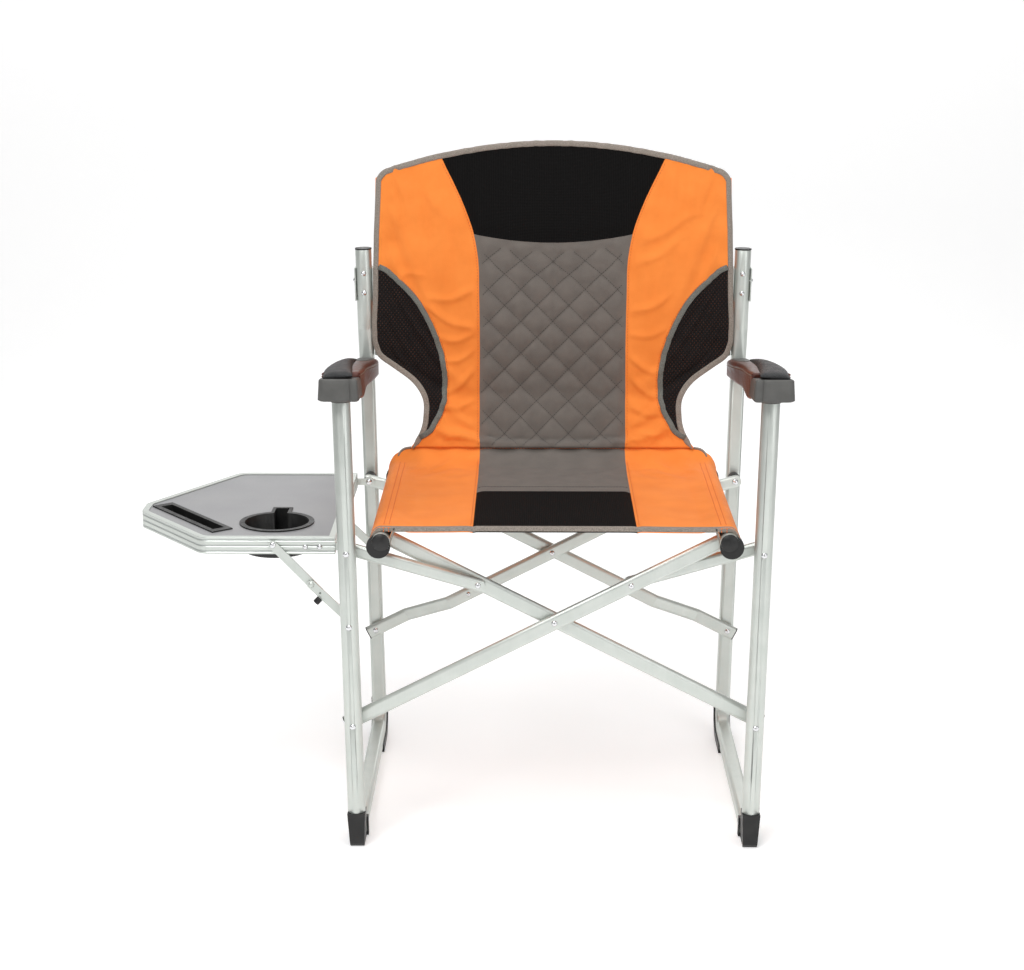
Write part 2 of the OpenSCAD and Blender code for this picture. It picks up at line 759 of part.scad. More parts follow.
// The half of space below a rail's cradle
module below_rail() {
    translate([rail_x, -50, rail_z]) rotate([0, 90 - mouth_angle, 0])
        translate([-60, 0, -60]) cube([120, 500, 60 - saddle_slot_r]);
}

// Cradles that stand on the links and hold the seat rails when the chair is open
module saddles(side) {
    layer = side < 0 ? layer_link_left : layer_link_right;
    color(BLACK) place() difference() {
        flip(side) difference() {
            union() {
                intersection() {
                    cradle_block(saddle_front, layer[FRONT][1] + 2);
                    below_rail();
                }
                cradle_block(saddle_rear[0], saddle_rear[1]);
                intersection() {
                    cradle_block(saddle_rear[1] - 1, layer[REAR][1] + 2);
                    below_rail();
                }
            }
            rail_mouth(saddle_slot_r);
        }
        link_place(side) for (end = [FRONT, REAR]) link_outline(layer[end], link_w, 0.02);
    }
}

/* ---------- side table, drawn on the right and flipped ---------- */

module table_outline(inset = 0) {
    offset(r = table_corner_r - inset, $fn = 64) offset(delta = -table_corner_r) polygon([
        [table_inner, table_front], front_chamfer[0], front_chamfer[1],
        rear_chamfer[0], rear_chamfer[1], [table_inner, table_rear]
    ]);
    // the inner end has square corners
    translate([table_inner + inset, table_front + inset])
        square([table_corner_r + 30, table_rear - table_front - 2 * inset]);
}

module cup_wells(grow) {
    translate([cup_x, cup_y]) {
        circle(r = cup_r + cup_wall + grow);
        translate([-handle_w / 2 - cup_wall - grow, 0])
            square([handle_w + 2 * (cup_wall + grow), handle_reach + cup_wall + grow]);
    }
}

module tray_outline(len, w) {
    translate([tray_x, tray_y]) rotate([0, 0, tray_angle]) square([len, w], center = true);
}

module table_frame() {
    color(ALU) place() flip(LEFT) difference() {
        translate([0, 0, table_top_z - table_h]) linear_extrude(table_h) table_outline();
        translate([0, 0, board_z[0]]) linear_extrude(board_z[1] - board_z[0]) table_outline(table_wall);
        translate([0, 0, table_top_z - table_h - 1]) linear_extrude(table_h + 2) table_outline(table_lip);
        for (end = [FRONT, REAR]) {
            translate([table_inner - 1, layer_arm[end][0] - 0.1, side_z(link_pivot_z) - 6]) cube([4, 3.2, 12]);
            for (x = concat(rivet_x, [strut_top[0]])) rod_y(
                x, x == strut_top[0] ? strut_top[1] : side_z(link_pivot_z), pin_r - 0.5 + run_gap,
                end == FRONT ? 20 : 390, end == FRONT ? 36 : 405
            );
        }
    }
}

module table_top() {
    color(GREY) place() flip(LEFT) difference() {
        translate([0, 0, board_z[0] + 0.1]) linear_extrude(board_z[1] - board_z[0] - 0.2)
            table_outline(table_wall + 0.1);
        translate([0, 0, 400]) linear_extrude(60) cup_wells(0.3);
        translate([0, 0, 400]) linear_extrude(60) tray_outline(tray_len + 4.6, tray_w + 4.6);
        for (end = [FRONT, REAR]) {
            y = end == FRONT ? table_front : layer_arm[REAR][0] - 0.2;
            translate([table_inner, y, 400]) cube([56, 5.4, 60]);
            rod_y(strut_top[0], strut_top[1], pin_r + 1.8, y, y + 5.4);
        }
    }
}

module cup_holder() {
    rim_z = board_z[1];
    color(BLACK) place() flip(LEFT) difference() {
        union() {
            translate([0, 0, rim_z + rim_t - cup_depth - cup_wall]) linear_extrude(cup_depth + cup_wall)
                cup_wells(0);
            translate([cup_x, cup_y, rim_z]) cylinder(r = rim_r, h = rim_t);
            translate([cup_x - handle_w / 2 - 5, cup_y, rim_z]) cube([handle_w + 10, handle_reach + 6, rim_t]);
        }
        translate([cup_x, cup_y, rim_z + rim_t - cup_depth]) cylinder(r = cup_r, h = cup_depth + 1, $fn = 96);
        translate([cup_x - handle_w / 2, cup_y, rim_z + rim_t - cup_depth])
            cube([handle_w, handle_reach, cup_depth + 1]);
    }
}

module phone_tray() {
    rim_z = board_z[1];
    color(BLACK) place() flip(LEFT) difference() {
        union() {
            translate([0, 0, rim_z + rim_t - tray_depth - 2]) linear_extrude(tray_depth)
                tray_outline(tray_len + 4, tray_w + 4);
            translate([0, 0, rim_z]) linear_extrude(rim_t) tray_outline(tray_rim[0], tray_rim[1]);
        }
        translate([0, 0, rim_z + rim_t - tray_depth]) linear_extrude(tray_depth + 1)
            tray_outline(tray_len, tray_w);
    }
}

// Plates from the table's inner corners to the link pivots
module table_arms() {
    z = side_z(link_pivot_z);
    x = side_x(link_pivot_z);
    color(ALU) place() flip(LEFT) for (end = [FRONT, REAR]) difference() {
        union() {
            translate([x, layer_arm[end][0], z - arm_plate_h / 2]) cube([arm_plate_end - x, 3, arm_plate_h]);
            rod_y(x, z, 8, layer_arm[end][0], layer_arm[end][1]);
        }
        rod_y(x, z, pin_r + run_gap, layer_arm[end][0] - 1, layer_arm[end][1] + 1);
        for (rx = rivet_x) rod_y(rx, z, pin_r - 0.5 + run_gap, layer_arm[end][0] - 1, layer_arm[end][1] + 1);
    }
}

module table_rivets() {
    z = side_z(link_pivot_z);
    color(ZINC) place() flip(LEFT) {
        for (x = rivet_x) {
            dome_y(x, z, table_front, -1, 4, 2.4);
            rod_y(x, z, 2.5, table_front, layer_arm[FRONT][1]);
            dome_y(x, z, table_rear, 1, 4, 2.4);
            rod_y(x, z, 2.5, layer_arm[REAR][0], table_rear);
        }
        // strut pivots
        dome_y(strut_top[0], strut_top[1], layer_strut_up[FRONT][0] - 0.1, -1, head_r, 2.2);
        rod_y(strut_top[0], strut_top[1], 2.5, layer_strut_up[FRONT][0] - 0.2, table_front + 4);
        dome_y(strut_top[0], strut_top[1], layer_strut_up[REAR][1] + 0.1, 1, head_r, 2.2);
        rod_y(strut_top[0], strut_top[1], 2.5, table_rear - 4, layer_strut_up[REAR][1] + 0.2);
    }
}

// Flat bar with round ends between two points given as [x, z]
module flat_bar(a, b, layer, w) {
    angle = atan2(b[1] - a[1], b[0] - a[0]);
    translate([a[0], 0, a[1]]) rotate([0, -angle, 0]) {
        translate([0, layer[0], -w / 2]) cube([norm(b - a), layer[1] - layer[0], w]);
        for (s = [0, norm(b - a)]) rod_y(s, 0, w / 2, layer[0], layer[1]);
    }
}

function toward(a, b, s) = a + (b - a) * (s / norm(b - a));

module struts_upper() {
    past_knee = toward(strut_knee, strut_top, -16);
    color(ALU) place() flip(LEFT) for (end = [FRONT, REAR]) difference() {
        flat_bar(strut_top, past_knee, layer_strut_up[end], strut_w);
        rod_y(strut_top[0], strut_top[1], 2.5 + run_gap, mid(layer_strut_up[end]) - 3, mid(layer_strut_up[end]) + 3);
    }
}

module struts_lower() {
    hole = toward(strut_knee, strut_foot, 17);
    color(ALU) place() flip(LEFT) for (end = [FRONT, REAR]) {
        out = end == FRONT ? layer_strut_low[FRONT][0] : layer_strut_low[REAR][1];
        span = [layer_strut_low[end][0] - 1, layer_strut_low[end][1] + 1];
        difference() {
            flat_bar(strut_knee, strut_foot, layer_strut_low[end], strut_w);
            rod_y(strut_foot[0], strut_foot[1], pin_r + run_gap, span[0], span[1]);
            rod_y(hole[0], hole[1], 1.5, span[0], span[1]);
        }
        dome_y(strut_knee[0], strut_knee[1], out, end == FRONT ? -1 : 1, head_r, 2.2);
    }
}

// Sprung knobs under the knees of the struts
module lock_knobs() {
    along = (strut_foot - strut_knee) / norm(strut_foot - strut_knee);
    across = [along[1], -along[0]];
    start = strut_knee + along * knob_back - across * (strut_w / 2 + 0.3);
    color(BLACK) place() flip(LEFT) for (end = [FRONT, REAR])
        translate([start[0], knob_y[end], start[1]])
            rotate([0, atan2(-across[0], -across[1]), 0]) cylinder(r = knob_r, h = knob_h);
}

/* ---------- slings ---------- */

module seat_sling() {
    edge = rail_x + tube_r;
    color(ORANGE) place() intersection() {
        rotate([90, 0, 90]) translate([0, 0, -300]) linear_extrude(600) polygon([
            [0, 461.2], [0, 466], [372, 468.5], [390, 485.4], [395, 485.4], [378, 462.6], [366, 461.2]
        ]);
        translate([0, 0, 440]) linear_extrude(60) polygon([
            [-edge, 0], [edge, 0], [edge, 372], [edge - 18, 396], [18 - edge, 396], [-edge, 372]
        ]);
    }
}

module back_sling() {
    half = 271;
    outline = [
        [half, 640], [half, 902], [264, 913], [150, back_top_z - 13], [60, back_top_z - 2], [0, back_top_z]
    ];
    waist = [[219, 486], [204, 510], [199, 532], [200, 555], [212, 585], [235, 612], [262, 624]];
    right = concat(waist, outline);
    left = [for (i = [len(right) - 2:-1:0]) [-right[i][0], right[i][1]]];
    color(ORANGE) place() intersection() {
        rotate([90, 0, 90]) translate([0, 0, -300]) linear_extrude(600) polygon([
            [423, 960], [427, 960], [427, 622], [400.5, 480], [396.5, 480], [423, 625]
        ]);
        rotate([90, 0, 0]) translate([0, 0, -460]) linear_extrude(200) polygon(concat(right, left));
    }
}

/* ---------- nodes ---------- */

leg(LEFT);  // leg_left
leg(RIGHT);  // leg_right
upright(LEFT);  // upright_left
upright(RIGHT);  // upright_right
foot(LEFT);  // foot_left
foot(RIGHT);  // foot_right
heel_guard(LEFT);  // heel_guard_left
heel_guard(RIGHT);  // heel_guard_right
upright_cap(LEFT);  // upright_cap_left
upright_cap(RIGHT);  // upright_cap_right
arm_tube(LEFT);  // arm_tube_left
arm_tube(RIGHT);  // arm_tube_right
armrest(LEFT);  // armrest_left
armrest(RIGHT);  // armrest_right
armrest_pad(LEFT);  // armrest_pad_left
armrest_pad(RIGHT);  // armrest_pad_right
armrest_nose(LEFT);  // armrest_nose_left
armrest_nose(RIGHT);  // armrest_nose_right
back_bracket(LEFT);  // back_bracket_left
back_bracket(RIGHT);  // back_bracket_right
bracket_screws(LEFT);  // bracket_screws_left
bracket_screws(RIGHT);  // bracket_screws_right
frame_rivets(LEFT);  // frame_rivets_left
frame_rivets(RIGHT);  // frame_rivets_right
pivot_spacers(LEFT);  // pivot_spacers_left
pivot_spacers(RIGHT);  // pivot_spacers_right
back_pole(LEFT);  // back_pole_left
back_pole(RIGHT);  // back_pole_right
cross_tube_front(1, layer_a[FRONT]);  // cross_tube_a_front
cross_tube_rear(1, layer_a[REAR]);  // cross_tube_a_rear
cross_tube_front(-1, layer_b[FRONT]);  // cross_tube_b_front
cross_tube_rear(-1, layer_b[REAR]);  // cross_tube_b_rear
tube_plugs(1, layer_a[FRONT]);  // tube_plugs_a
tube_plugs(-1, layer_b[FRONT]);  // tube_plugs_b
seat_rail(LEFT);  // seat_rail_left
seat_rail(RIGHT);  // seat_rail_right
rail_caps(LEFT);  // rail_caps_left
rail_caps(RIGHT);  // rail_caps_right
crossing_bolts();
tube_rivets(1);  // tube_rivets_a
tube_rivets(-1);  // tube_rivets_b
link_bar(LEFT, layer_link_left[FRONT]);  // link_left_front
link_bar(LEFT, layer_link_left[REAR]);  // link_left_rear
link_bar(RIGHT, layer_link_right[FRONT]);  // link_right_front
link_bar(RIGHT, layer_link_right[REAR]);  // link_right_rear
saddles(LEFT);  // saddles_left
saddles(RIGHT);  // saddles_right
link_rivets(LEFT);  // link_rivets_left
link_rivets(RIGHT);  // link_rivets_right
table_frame();
table_top();
cup_holder();
phone_tray();
table_arms();
table_rivets();
struts_upper();
struts_lower();
lock_knobs();
seat_sling();
back_sling();
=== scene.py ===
"""Looks of the folding director chair, built round its CAD frame. All lengths are in metres."""

import json
import math

import bmesh
import bpy
import numpy as np
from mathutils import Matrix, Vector
from mathutils.kdtree import KDTree


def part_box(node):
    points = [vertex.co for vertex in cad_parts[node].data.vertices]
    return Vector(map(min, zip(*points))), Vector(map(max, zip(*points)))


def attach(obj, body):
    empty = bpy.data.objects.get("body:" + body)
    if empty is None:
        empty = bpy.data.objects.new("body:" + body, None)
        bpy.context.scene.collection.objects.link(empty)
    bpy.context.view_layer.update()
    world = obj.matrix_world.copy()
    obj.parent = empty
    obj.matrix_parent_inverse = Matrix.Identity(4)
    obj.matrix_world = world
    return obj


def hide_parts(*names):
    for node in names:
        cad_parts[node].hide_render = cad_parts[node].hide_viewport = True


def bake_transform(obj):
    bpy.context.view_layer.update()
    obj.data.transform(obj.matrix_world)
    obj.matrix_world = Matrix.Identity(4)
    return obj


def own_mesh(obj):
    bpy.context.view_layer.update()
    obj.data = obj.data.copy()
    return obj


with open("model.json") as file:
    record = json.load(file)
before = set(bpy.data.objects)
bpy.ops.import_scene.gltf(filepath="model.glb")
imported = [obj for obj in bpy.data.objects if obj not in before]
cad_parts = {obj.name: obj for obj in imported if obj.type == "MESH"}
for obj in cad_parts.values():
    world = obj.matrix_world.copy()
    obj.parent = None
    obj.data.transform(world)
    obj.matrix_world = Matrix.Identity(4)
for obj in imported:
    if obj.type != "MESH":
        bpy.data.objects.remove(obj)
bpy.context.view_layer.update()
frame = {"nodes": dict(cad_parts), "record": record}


# ---------- places taken from the frame ----------

SEAT_LOW, SEAT_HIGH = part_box("seat_sling")
MIDDLE_X = (SEAT_LOW.x + SEAT_HIGH.x) / 2
FRONT_Y = SEAT_LOW.y


def at(x, y, z):
    """A point given from the chair's middle plane and the seat's front edge."""
    return Vector((MIDDLE_X + x, FRONT_Y + y, z))


def centre_of(node):
    low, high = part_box(node)
    middle = (low + high) / 2
    return middle.x - MIDDLE_X, middle.y - FRONT_Y, middle.z


def corners_of(node):
    return np.array([v.co for v in frame["nodes"][node].data.vertices])


def pole_centres():
    """Centre of the right pole near its lower and its upper end, as (x, y, z)."""
    points = corners_of("back_pole_right")
    ends = []
    for height in (points[:, 2].min(), points[:, 2].max()):
        ring = points[np.abs(points[:, 2] - height) < 0.002]
        ends.append((ring[:, 0].mean() - MIDDLE_X, ring[:, 1].mean() - FRONT_Y, height))
    return ends


RAIL_X, _, RAIL_Z = centre_of("seat_rail_right")
POLE_LOW, POLE_HIGH = pole_centres()
POLE_Y = (POLE_LOW[1] + POLE_HIGH[1]) / 2
BACK_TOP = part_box("back_sling")[1].z + 0.0026  # the cloth stands a little over the plain solid

SLEEVE_R = 0.0158
FOAM = 0.0050
POLE_SLEEVE_R = 0.0125
CLOTH_T = 0.0015
BACK_Y = POLE_Y - POLE_SLEEVE_R
SEAT_Z = RAIL_Z + SLEEVE_R + FOAM
SEAT_BEND_Y = 0.366
SEAM_Y = 0.400
SEAM_Z = 0.4856
SEAM_HALF = 0.219
PANEL_HALF = 0.1125


# ---------- small helpers ----------

def slice_of(node, y):
    """(half width, highest z) of a CAD node's corners near a depth."""
    points = corners_of(node)
    near = points[np.abs(points[:, 1] - y) < 0.002]
    return float(np.ptp(near[:, 0])) / 2, float(near[:, 2].max())


def smooth(a, b, x):
    t = min(max((x - a) / (b - a), 0.0), 1.0)
    return t * t * (3 - 2 * t)


def curve_through(points):
    """A smooth function through (t, value) pairs, as cubic pieces."""
    t = np.array([p[0] for p in points])
    v = np.array([p[1] for p in points])
    slope = np.gradient(v, t)

    def value(x):
        x = min(max(x, t[0]), t[-1])
        i = min(max(int(np.searchsorted(t, x)) - 1, 0), len(t) - 2)
        h = t[i + 1] - t[i]
        s = (x - t[i]) / h
        return float(
            (1 + 2 * s) * (1 - s) ** 2 * v[i] + s * (1 - s) ** 2 * h * slope[i]
            + s * s * (3 - 2 * s) * v[i + 1] + s * s * (s - 1) * h * slope[i + 1]
        )

    return value


def steps(a, b, size):
    """Even steps from a to b, no longer than size."""
    return list(np.linspace(a, b, max(2, int(math.ceil((b - a) / size)) + 1)))


def quarter(count):
    """(sine, cosine) at even steps of a quarter turn."""
    return [(math.sin(a), math.cos(a)) for a in (math.pi / 2 * k / count for k in range(count + 1))]


def rows_between(marks, size):
    """Rows with one on each mark but the last."""
    return [v for a, b in zip(marks, marks[1:]) for v in steps(a, b, size)[:-1]]


def new_object(name, data):
    obj = bpy.data.objects.new(name, data)
    bpy.context.scene.collection.objects.link(obj)
    return obj


def add_object(name, points, faces, materials=(), face_slots=None, uvs=None):
    """A mesh object from points and faces; uvs are one (u, v) for each point."""
    mesh = bpy.data.meshes.new(name)
    mesh.from_pydata([tuple(p) for p in points], [], faces)
    for material in materials:
        mesh.materials.append(material)
    if face_slots is not None:
        mesh.polygons.foreach_set("material_index", face_slots)
    if uvs is not None:
        layer = mesh.uv_layers.new(name="flat")
        corner = np.zeros(len(mesh.loops), np.int32)
        mesh.loops.foreach_get("vertex_index", corner)
        layer.data.foreach_set("uv", np.array(uvs, np.float32)[corner].ravel())
    mesh.polygons.foreach_set("use_smooth", [True] * len(mesh.polygons))
    mesh.validate()
    mesh.update()
    return new_object(name, mesh)


def join(name, parts, materials):
    """One object from several (points, faces, slot) parts."""
    points, faces, slots = [], [], []
    for part_points, part_faces, slot in parts:
        base = len(points)
        points += [tuple(p) for p in part_points]
        faces += [tuple(base + i for i in f) for f in part_faces]
        slots += [slot] * len(part_faces)
    obj = add_object(name, points, faces, materials, slots)
    skin = bmesh.new()
    skin.from_mesh(obj.data)
    bmesh.ops.recalc_face_normals(skin, faces=skin.faces)
    skin.to_mesh(obj.data)
    skin.free()
    return obj


def sided(part, side):
    """A part drawn for the right side, or its mirror image for the left."""
    if side > 0:
        return part
    points, faces, slot = part
    points = [Vector((2 * MIDDLE_X - p[0], p[1], p[2])) for p in points]
    return points, [tuple(reversed(f)) for f in faces], slot


def loft(rings):
    """Points and faces of a skin over rings of equal length, with flat ends."""
    n, m = len(rings), len(rings[0])
    faces = []
    for i in range(0, (n - 1) * m, m):
        faces += [(i + k, i + (k + 1) % m, i + m + (k + 1) % m, i + m + k) for k in range(m)]
    faces += [tuple(reversed(range(m))), tuple(range((n - 1) * m, n * m))]
    return [p for ring in rings for p in ring], faces


def thicken(obj, thickness, offset):
    """Gives a sheet its thickness; offset -1 puts it all behind the drawn face, 0 half on each side."""
    solid = obj.modifiers.new("cloth", "SOLIDIFY")
    solid.thickness = thickness
    solid.offset = offset


def direction_at(path, i):
    return (path[min(i + 1, len(path) - 1)] - path[max(i - 1, 0)]).normalized()


def sweep(path, outs, profile, sizes=None):
    """Points and faces of an (out, across) profile swept along a path; sizes stretch it outwards."""
    rings = []
    for i, (p, out) in enumerate(zip(path, outs)):
        along = direction_at(path, i)
        out = (out - along * out.dot(along)).normalized()
        across = along.cross(out)
        size = sizes[i] if sizes else 1.0
        rings.append([p + out * (a * size) + across * b for a, b in profile])
    return loft(rings)


def oval(width, thickness, count=12):
    """Profile of a flat ribbon with round edges, as (out, across)."""
    return [
        (
            width / 2 * math.copysign(abs(math.cos(a)) ** 0.6, math.cos(a)),
            thickness / 2 * math.copysign(abs(math.sin(a)) ** 0.6, math.sin(a)),
        )
        for a in (2 * math.pi * (k + 0.5) / count for k in range(count))
    ]


class Cloth:
    """A sheet laid out flat as (u, v) points that patches share along their edges."""

    def __init__(self):
        self.flat, self.index, self.faces, self.slots = [], {}, [], []

    def point(self, u, v):
        key = (round(u, 5), round(v, 5))
        if key not in self.index:
            self.index[key] = len(self.flat)
            self.flat.append((u, v))
        return self.index[key]

    def patch(self, rows, start, end, columns, slot):
        """Quads between the curves start(v) and end(v) at the rows; slot is a number or a function of v."""
        grid = [
            [self.point(start(v) + (end(v) - start(v)) * k / columns, v) for k in range(columns + 1)]
            for v in rows
        ]
        for j in range(len(rows) - 1):
            for k in range(columns):
                corners = [grid[j][k], grid[j][k + 1], grid[j + 1][k + 1], grid[j + 1][k]]
                face = tuple(dict.fromkeys(corners))
                if len(face) > 2:
                    self.faces.append(face)
                    middle = (rows[j] + rows[j + 1]) / 2
                    self.slots.append(slot(middle) if callable(slot) else slot)

    def sides(self, rows, start, end, columns, slot):
        """A patch on the right side and its mirror image on the left."""
        self.patch(rows, start, end, columns, slot)
        self.patch(rows, lambda v: -end(v), lambda v: -start(v), columns, slot)


def flat_area(cloth):
    """Area of the flat cut in square metres."""
    total = 0.0
    for face in cloth.faces:
        ring = [cloth.flat[i] for i in face]
        total += abs(sum(a[0] * b[1] - b[0] * a[1] for a, b in zip(ring, ring[1:] + ring[:1]))) / 2
    return total


def simulate(obj, flat, held, frames, cap, settings):
    """Runs Blender's cloth on obj, held by held(u, v) at its flat points, and keeps moves within cap."""
    rest = np.array([v.co for v in obj.data.vertices])
    group = obj.vertex_groups.new(name="held")
    for i, (u, v) in enumerate(flat):
        weight = held(u, v)
        if weight > 0:
            group.add([i], weight, "REPLACE")
    cloth = obj.modifiers.new("cloth", "CLOTH")
    cloth.settings.vertex_group_mass = "held"
    for name, value in {"quality": 6, "air_damping": 2.0, **settings}.items():
        setattr(cloth.settings, name, value)
    cloth.point_cache.frame_start = 1
    cloth.point_cache.frame_end = frames
    scene = bpy.context.scene
    for step in range(1, frames + 1):
        scene.frame_set(step)
    shown = obj.evaluated_get(bpy.context.evaluated_depsgraph_get())
    moved = np.array([v.co for v in shown.data.vertices])
    obj.modifiers.remove(cloth)
    obj.vertex_groups.remove(group)
    shift = moved - rest
    length = np.maximum(np.linalg.norm(shift, axis=1), 1e-9)
    shift *= np.minimum(1.0, cap / length)[:, None]
    obj.data.vertices.foreach_set("co", (rest + shift).astype(np.float32).ravel())
    obj.data.update()
    scene.frame_set(1)


# ---------- materials ----------

class Shader:
    """A Principled material and the few nodes that the finishes below are made from."""

    def __init__(self, name, colour, roughness=0.5, metallic=0.0, **sockets):
        self.material = bpy.data.materials.new(name)
        self.material.use_nodes = True
        self.nodes = self.material.node_tree.nodes
        self.links = self.material.node_tree.links
        self.surface = self.nodes["Principled BSDF"]
        self.set(self.surface, {"Base Color": (*colour, 1), "Roughness": roughness, "Metallic": metallic})
        self.set(self.surface, {k.replace("_", " "): v for k, v in sockets.items()})
        self.height = None
        self.place = self.where()

    def set(self, node, values):
        for key, value in values.items():
            node.inputs[key].default_value = value

    def node(self, kind, values=None, **properties):
        node = self.nodes.new(kind)
        for key, value in properties.items():
            setattr(node, key, value)
        self.set(node, values or {})
        return node

    def link(self, output, node, socket):
        self.links.new(output, node.inputs[socket])

    def where(self, flat=False, scale=(1, 1, 1), turn=0.0):
        """Coordinates in metres, from the piece or from its flat cut."""
        source = self.node("ShaderNodeTexCoord").outputs["UV" if flat else "Object"]
        mapping = self.node("ShaderNodeMapping", {"Scale": scale, "Rotation": (0, 0, turn)})
        self.link(source, mapping, "Vector")
        return mapping.outputs["Vector"]

    def noise(self, scale, detail, roughness=0.5, place=None):
        node = self.node("ShaderNodeTexNoise", {"Scale": scale, "Detail": detail, "Roughness": roughness})
        self.link(self.place if place is None else place, node, "Vector")
        return node.outputs["Fac"]

    def wave(self, pitch, direction):
        node = self.node("ShaderNodeTexWave", {"Scale": math.pi / 10 / pitch}, bands_direction=direction)
        self.link(self.place, node, "Vector")
        return node.outputs["Fac"]

    def cells(self, pitch, randomness=0.0, feature="F1"):
        values = {"Scale": 1 / pitch, "Randomness": randomness}
        node = self.node("ShaderNodeTexVoronoi", values, feature=feature)
        self.link(self.place, node, "Vector")
        return node.outputs["Distance"]

    def math(self, operation, a, b):
        node = self.node("ShaderNodeMath", operation=operation)
        for socket, value in enumerate((a, b)):
            if isinstance(value, (int, float)):
                node.inputs[socket].default_value = value
            else:
                self.links.new(value, node.inputs[socket])
        return node.outputs["Value"]

    def ramp(self, value, low, high, a=0.0, b=1.0):
        """value carried from low..high to a..b."""
        node = self.node("ShaderNodeMapRange", {"From Min": low, "From Max": high, "To Min": a, "To Max": b})
        self.link(value, node, "Value")
        return node.outputs["Result"]

    def mix(self, factor, a, b):
        node = self.node("ShaderNodeMix", data_type="RGBA")
        self.links.new(factor, node.inputs["Factor"])
        for socket, colour in zip((6, 7), (a, b)):
            if isinstance(colour, tuple):
                node.inputs[socket].default_value = (*colour, 1)
            else:
                self.links.new(colour, node.inputs[socket])
        return node.outputs[2]

    def colour(self, output):
        self.links.new(output, self.surface.inputs["Base Color"])

    def tint(self, value, low, high, dark, light):
        """Base colour from dark to light as value goes from low to high."""
        self.colour(self.mix(self.ramp(value, low, high), dark, light))

    def rough(self, value, low, high, a, b):
        """Roughness from a to b as value goes from low to high."""
        self.links.new(self.ramp(value, low, high, a, b), self.surface.inputs["Roughness"])

    def bump(self, height, distance, strength):
        node = self.node("ShaderNodeBump", {"Strength": strength, "Distance": distance})
        self.link(height, node, "Height")
        if self.height is not None:
            self.link(self.height, node, "Normal")
        self.height = node.outputs["Normal"]
        self.links.new(self.height, self.surface.inputs["Normal"])


def weave(s, pitch, distance, strength):
    """Over-and-under threads of a plain cloth, in its flat cut; returns the height."""
    across, along = s.wave(pitch, "X"), s.wave(pitch, "Y")
    checks = s.node("ShaderNodeTexChecker", {"Scale": 1 / pitch})
    s.link(s.place, checks, "Vector")
    over = s.math("MULTIPLY", across, checks.outputs["Fac"])
    under = s.math("MULTIPLY", along, s.math("SUBTRACT", 1.0, checks.outputs["Fac"]))
    height = s.math("ADD", over, under)
    s.bump(height, distance, strength)
    return height


def woven_cloth(name, colour, roughness, sheen_roughness, thread_size, bump, patches, shades, thread_highlight, fuzz):
    """Cloth: bump is (distance, strength), shades the patchy ground; the (colour, share) pair before fuzz is
    a painted highlight on the raised threads.
    """
    s = Shader(name, colour, roughness, Sheen_Weight=0.06, Sheen_Roughness=sheen_roughness)
    s.place = s.where(flat=True)
    height = weave(s, thread_size, *bump)
    shade = s.mix(s.ramp(s.noise(patches, 3), 0.3, 0.7), *shades)
    # Painted highlight: the raised threads are mixed towards a lighter colour.
    s.colour(s.mix(s.ramp(height, 0.0, 1.0, 0.0, thread_highlight[1]), shade, thread_highlight[0]))
    s.bump(s.noise(fuzz, 4), 0.0004, 0.5)
    return s.material


def cloth_black_mesh():
    s = Shader("black_mesh", (0.003, 0.003, 0.003), 0.9, Specular_IOR_Level=0.12)
    s.place = s.where(flat=True, scale=(1, 1.35, 1))
    holes = s.cells(0.0026)
    # Painted shade: the holes are coloured darker than the threads between them.
    s.tint(holes, 0.25, 0.5, (0.001, 0.001, 0.001), (0.008, 0.0075, 0.0075))
    s.bump(holes, 0.0012, 0.9)
    s.bump(s.noise(700, 2), 0.0002, 0.4)
    return s.material


def cloth_lumbar_mesh():
    s = Shader("lumbar_mesh", (0.010, 0.007, 0.006), 0.85, Specular_IOR_Level=0.25)
    s.place = s.where(flat=True, scale=(1, 0.8, 1), turn=math.radians(45))
    holes = s.cells(0.0040)
    dots = s.ramp(holes, 0.10, 0.26, 1.0, 0.0)
    patches = s.ramp(s.noise(60, 2), 0.35, 0.65, 0.35, 1.0)
    s.colour(s.mix(s.math("MULTIPLY", dots, patches), (0.006, 0.0045, 0.0045), (0.075, 0.028, 0.016)))
    s.bump(s.ramp(holes, 0.1, 0.45), 0.0014, 0.9)
    return s.material


def ribbon(name, dark, light):
    """Grosgrain binding, ribbed along its length, with painted shade in the low parts of its ribs."""
    s = Shader(name, light, 0.8, Sheen_Weight=0.06, Sheen_Roughness=0.5)
    ribs = s.noise(900, 1)
    # Painted shade: the ribs' low parts are coloured darker.
    s.tint(ribs, 0.35, 0.65, dark, light)
    s.bump(ribs, 0.0005, 0.6)
    return s.material


def thread(name, colour):
    s = Shader(name, colour, 0.6, Sheen_Weight=0.1)
    twist = s.noise(1500, 1)
    # Painted shade: the twist's low parts are coloured darker.
    s.colour(s.mix(twist, tuple(c * 0.75 for c in colour), colour))
    s.bump(twist, 0.0002, 0.5)
    return s.material


def satin_metal():
    """Clear-anodised aluminium tube: soft sheen, faint draw lines and small handling marks."""
    s = Shader("satin_metal", (0.59, 0.625, 0.59), 0.42, 0.75)
    lines = s.noise(420, 2, place=s.where(scale=(1, 1, 0.02)))
    marks = s.noise(35, 4)
    s.tint(marks, 0.3, 0.7, (0.56, 0.595, 0.56), (0.62, 0.65, 0.615))
    worn = s.math("ADD", s.ramp(lines, 0.3, 0.7, 0.34, 0.46), s.ramp(marks, 0.3, 0.8, 0.0, 0.06))
    s.links.new(worn, s.surface.inputs["Roughness"])
    s.bump(lines, 0.00008, 0.25)
    return s.material


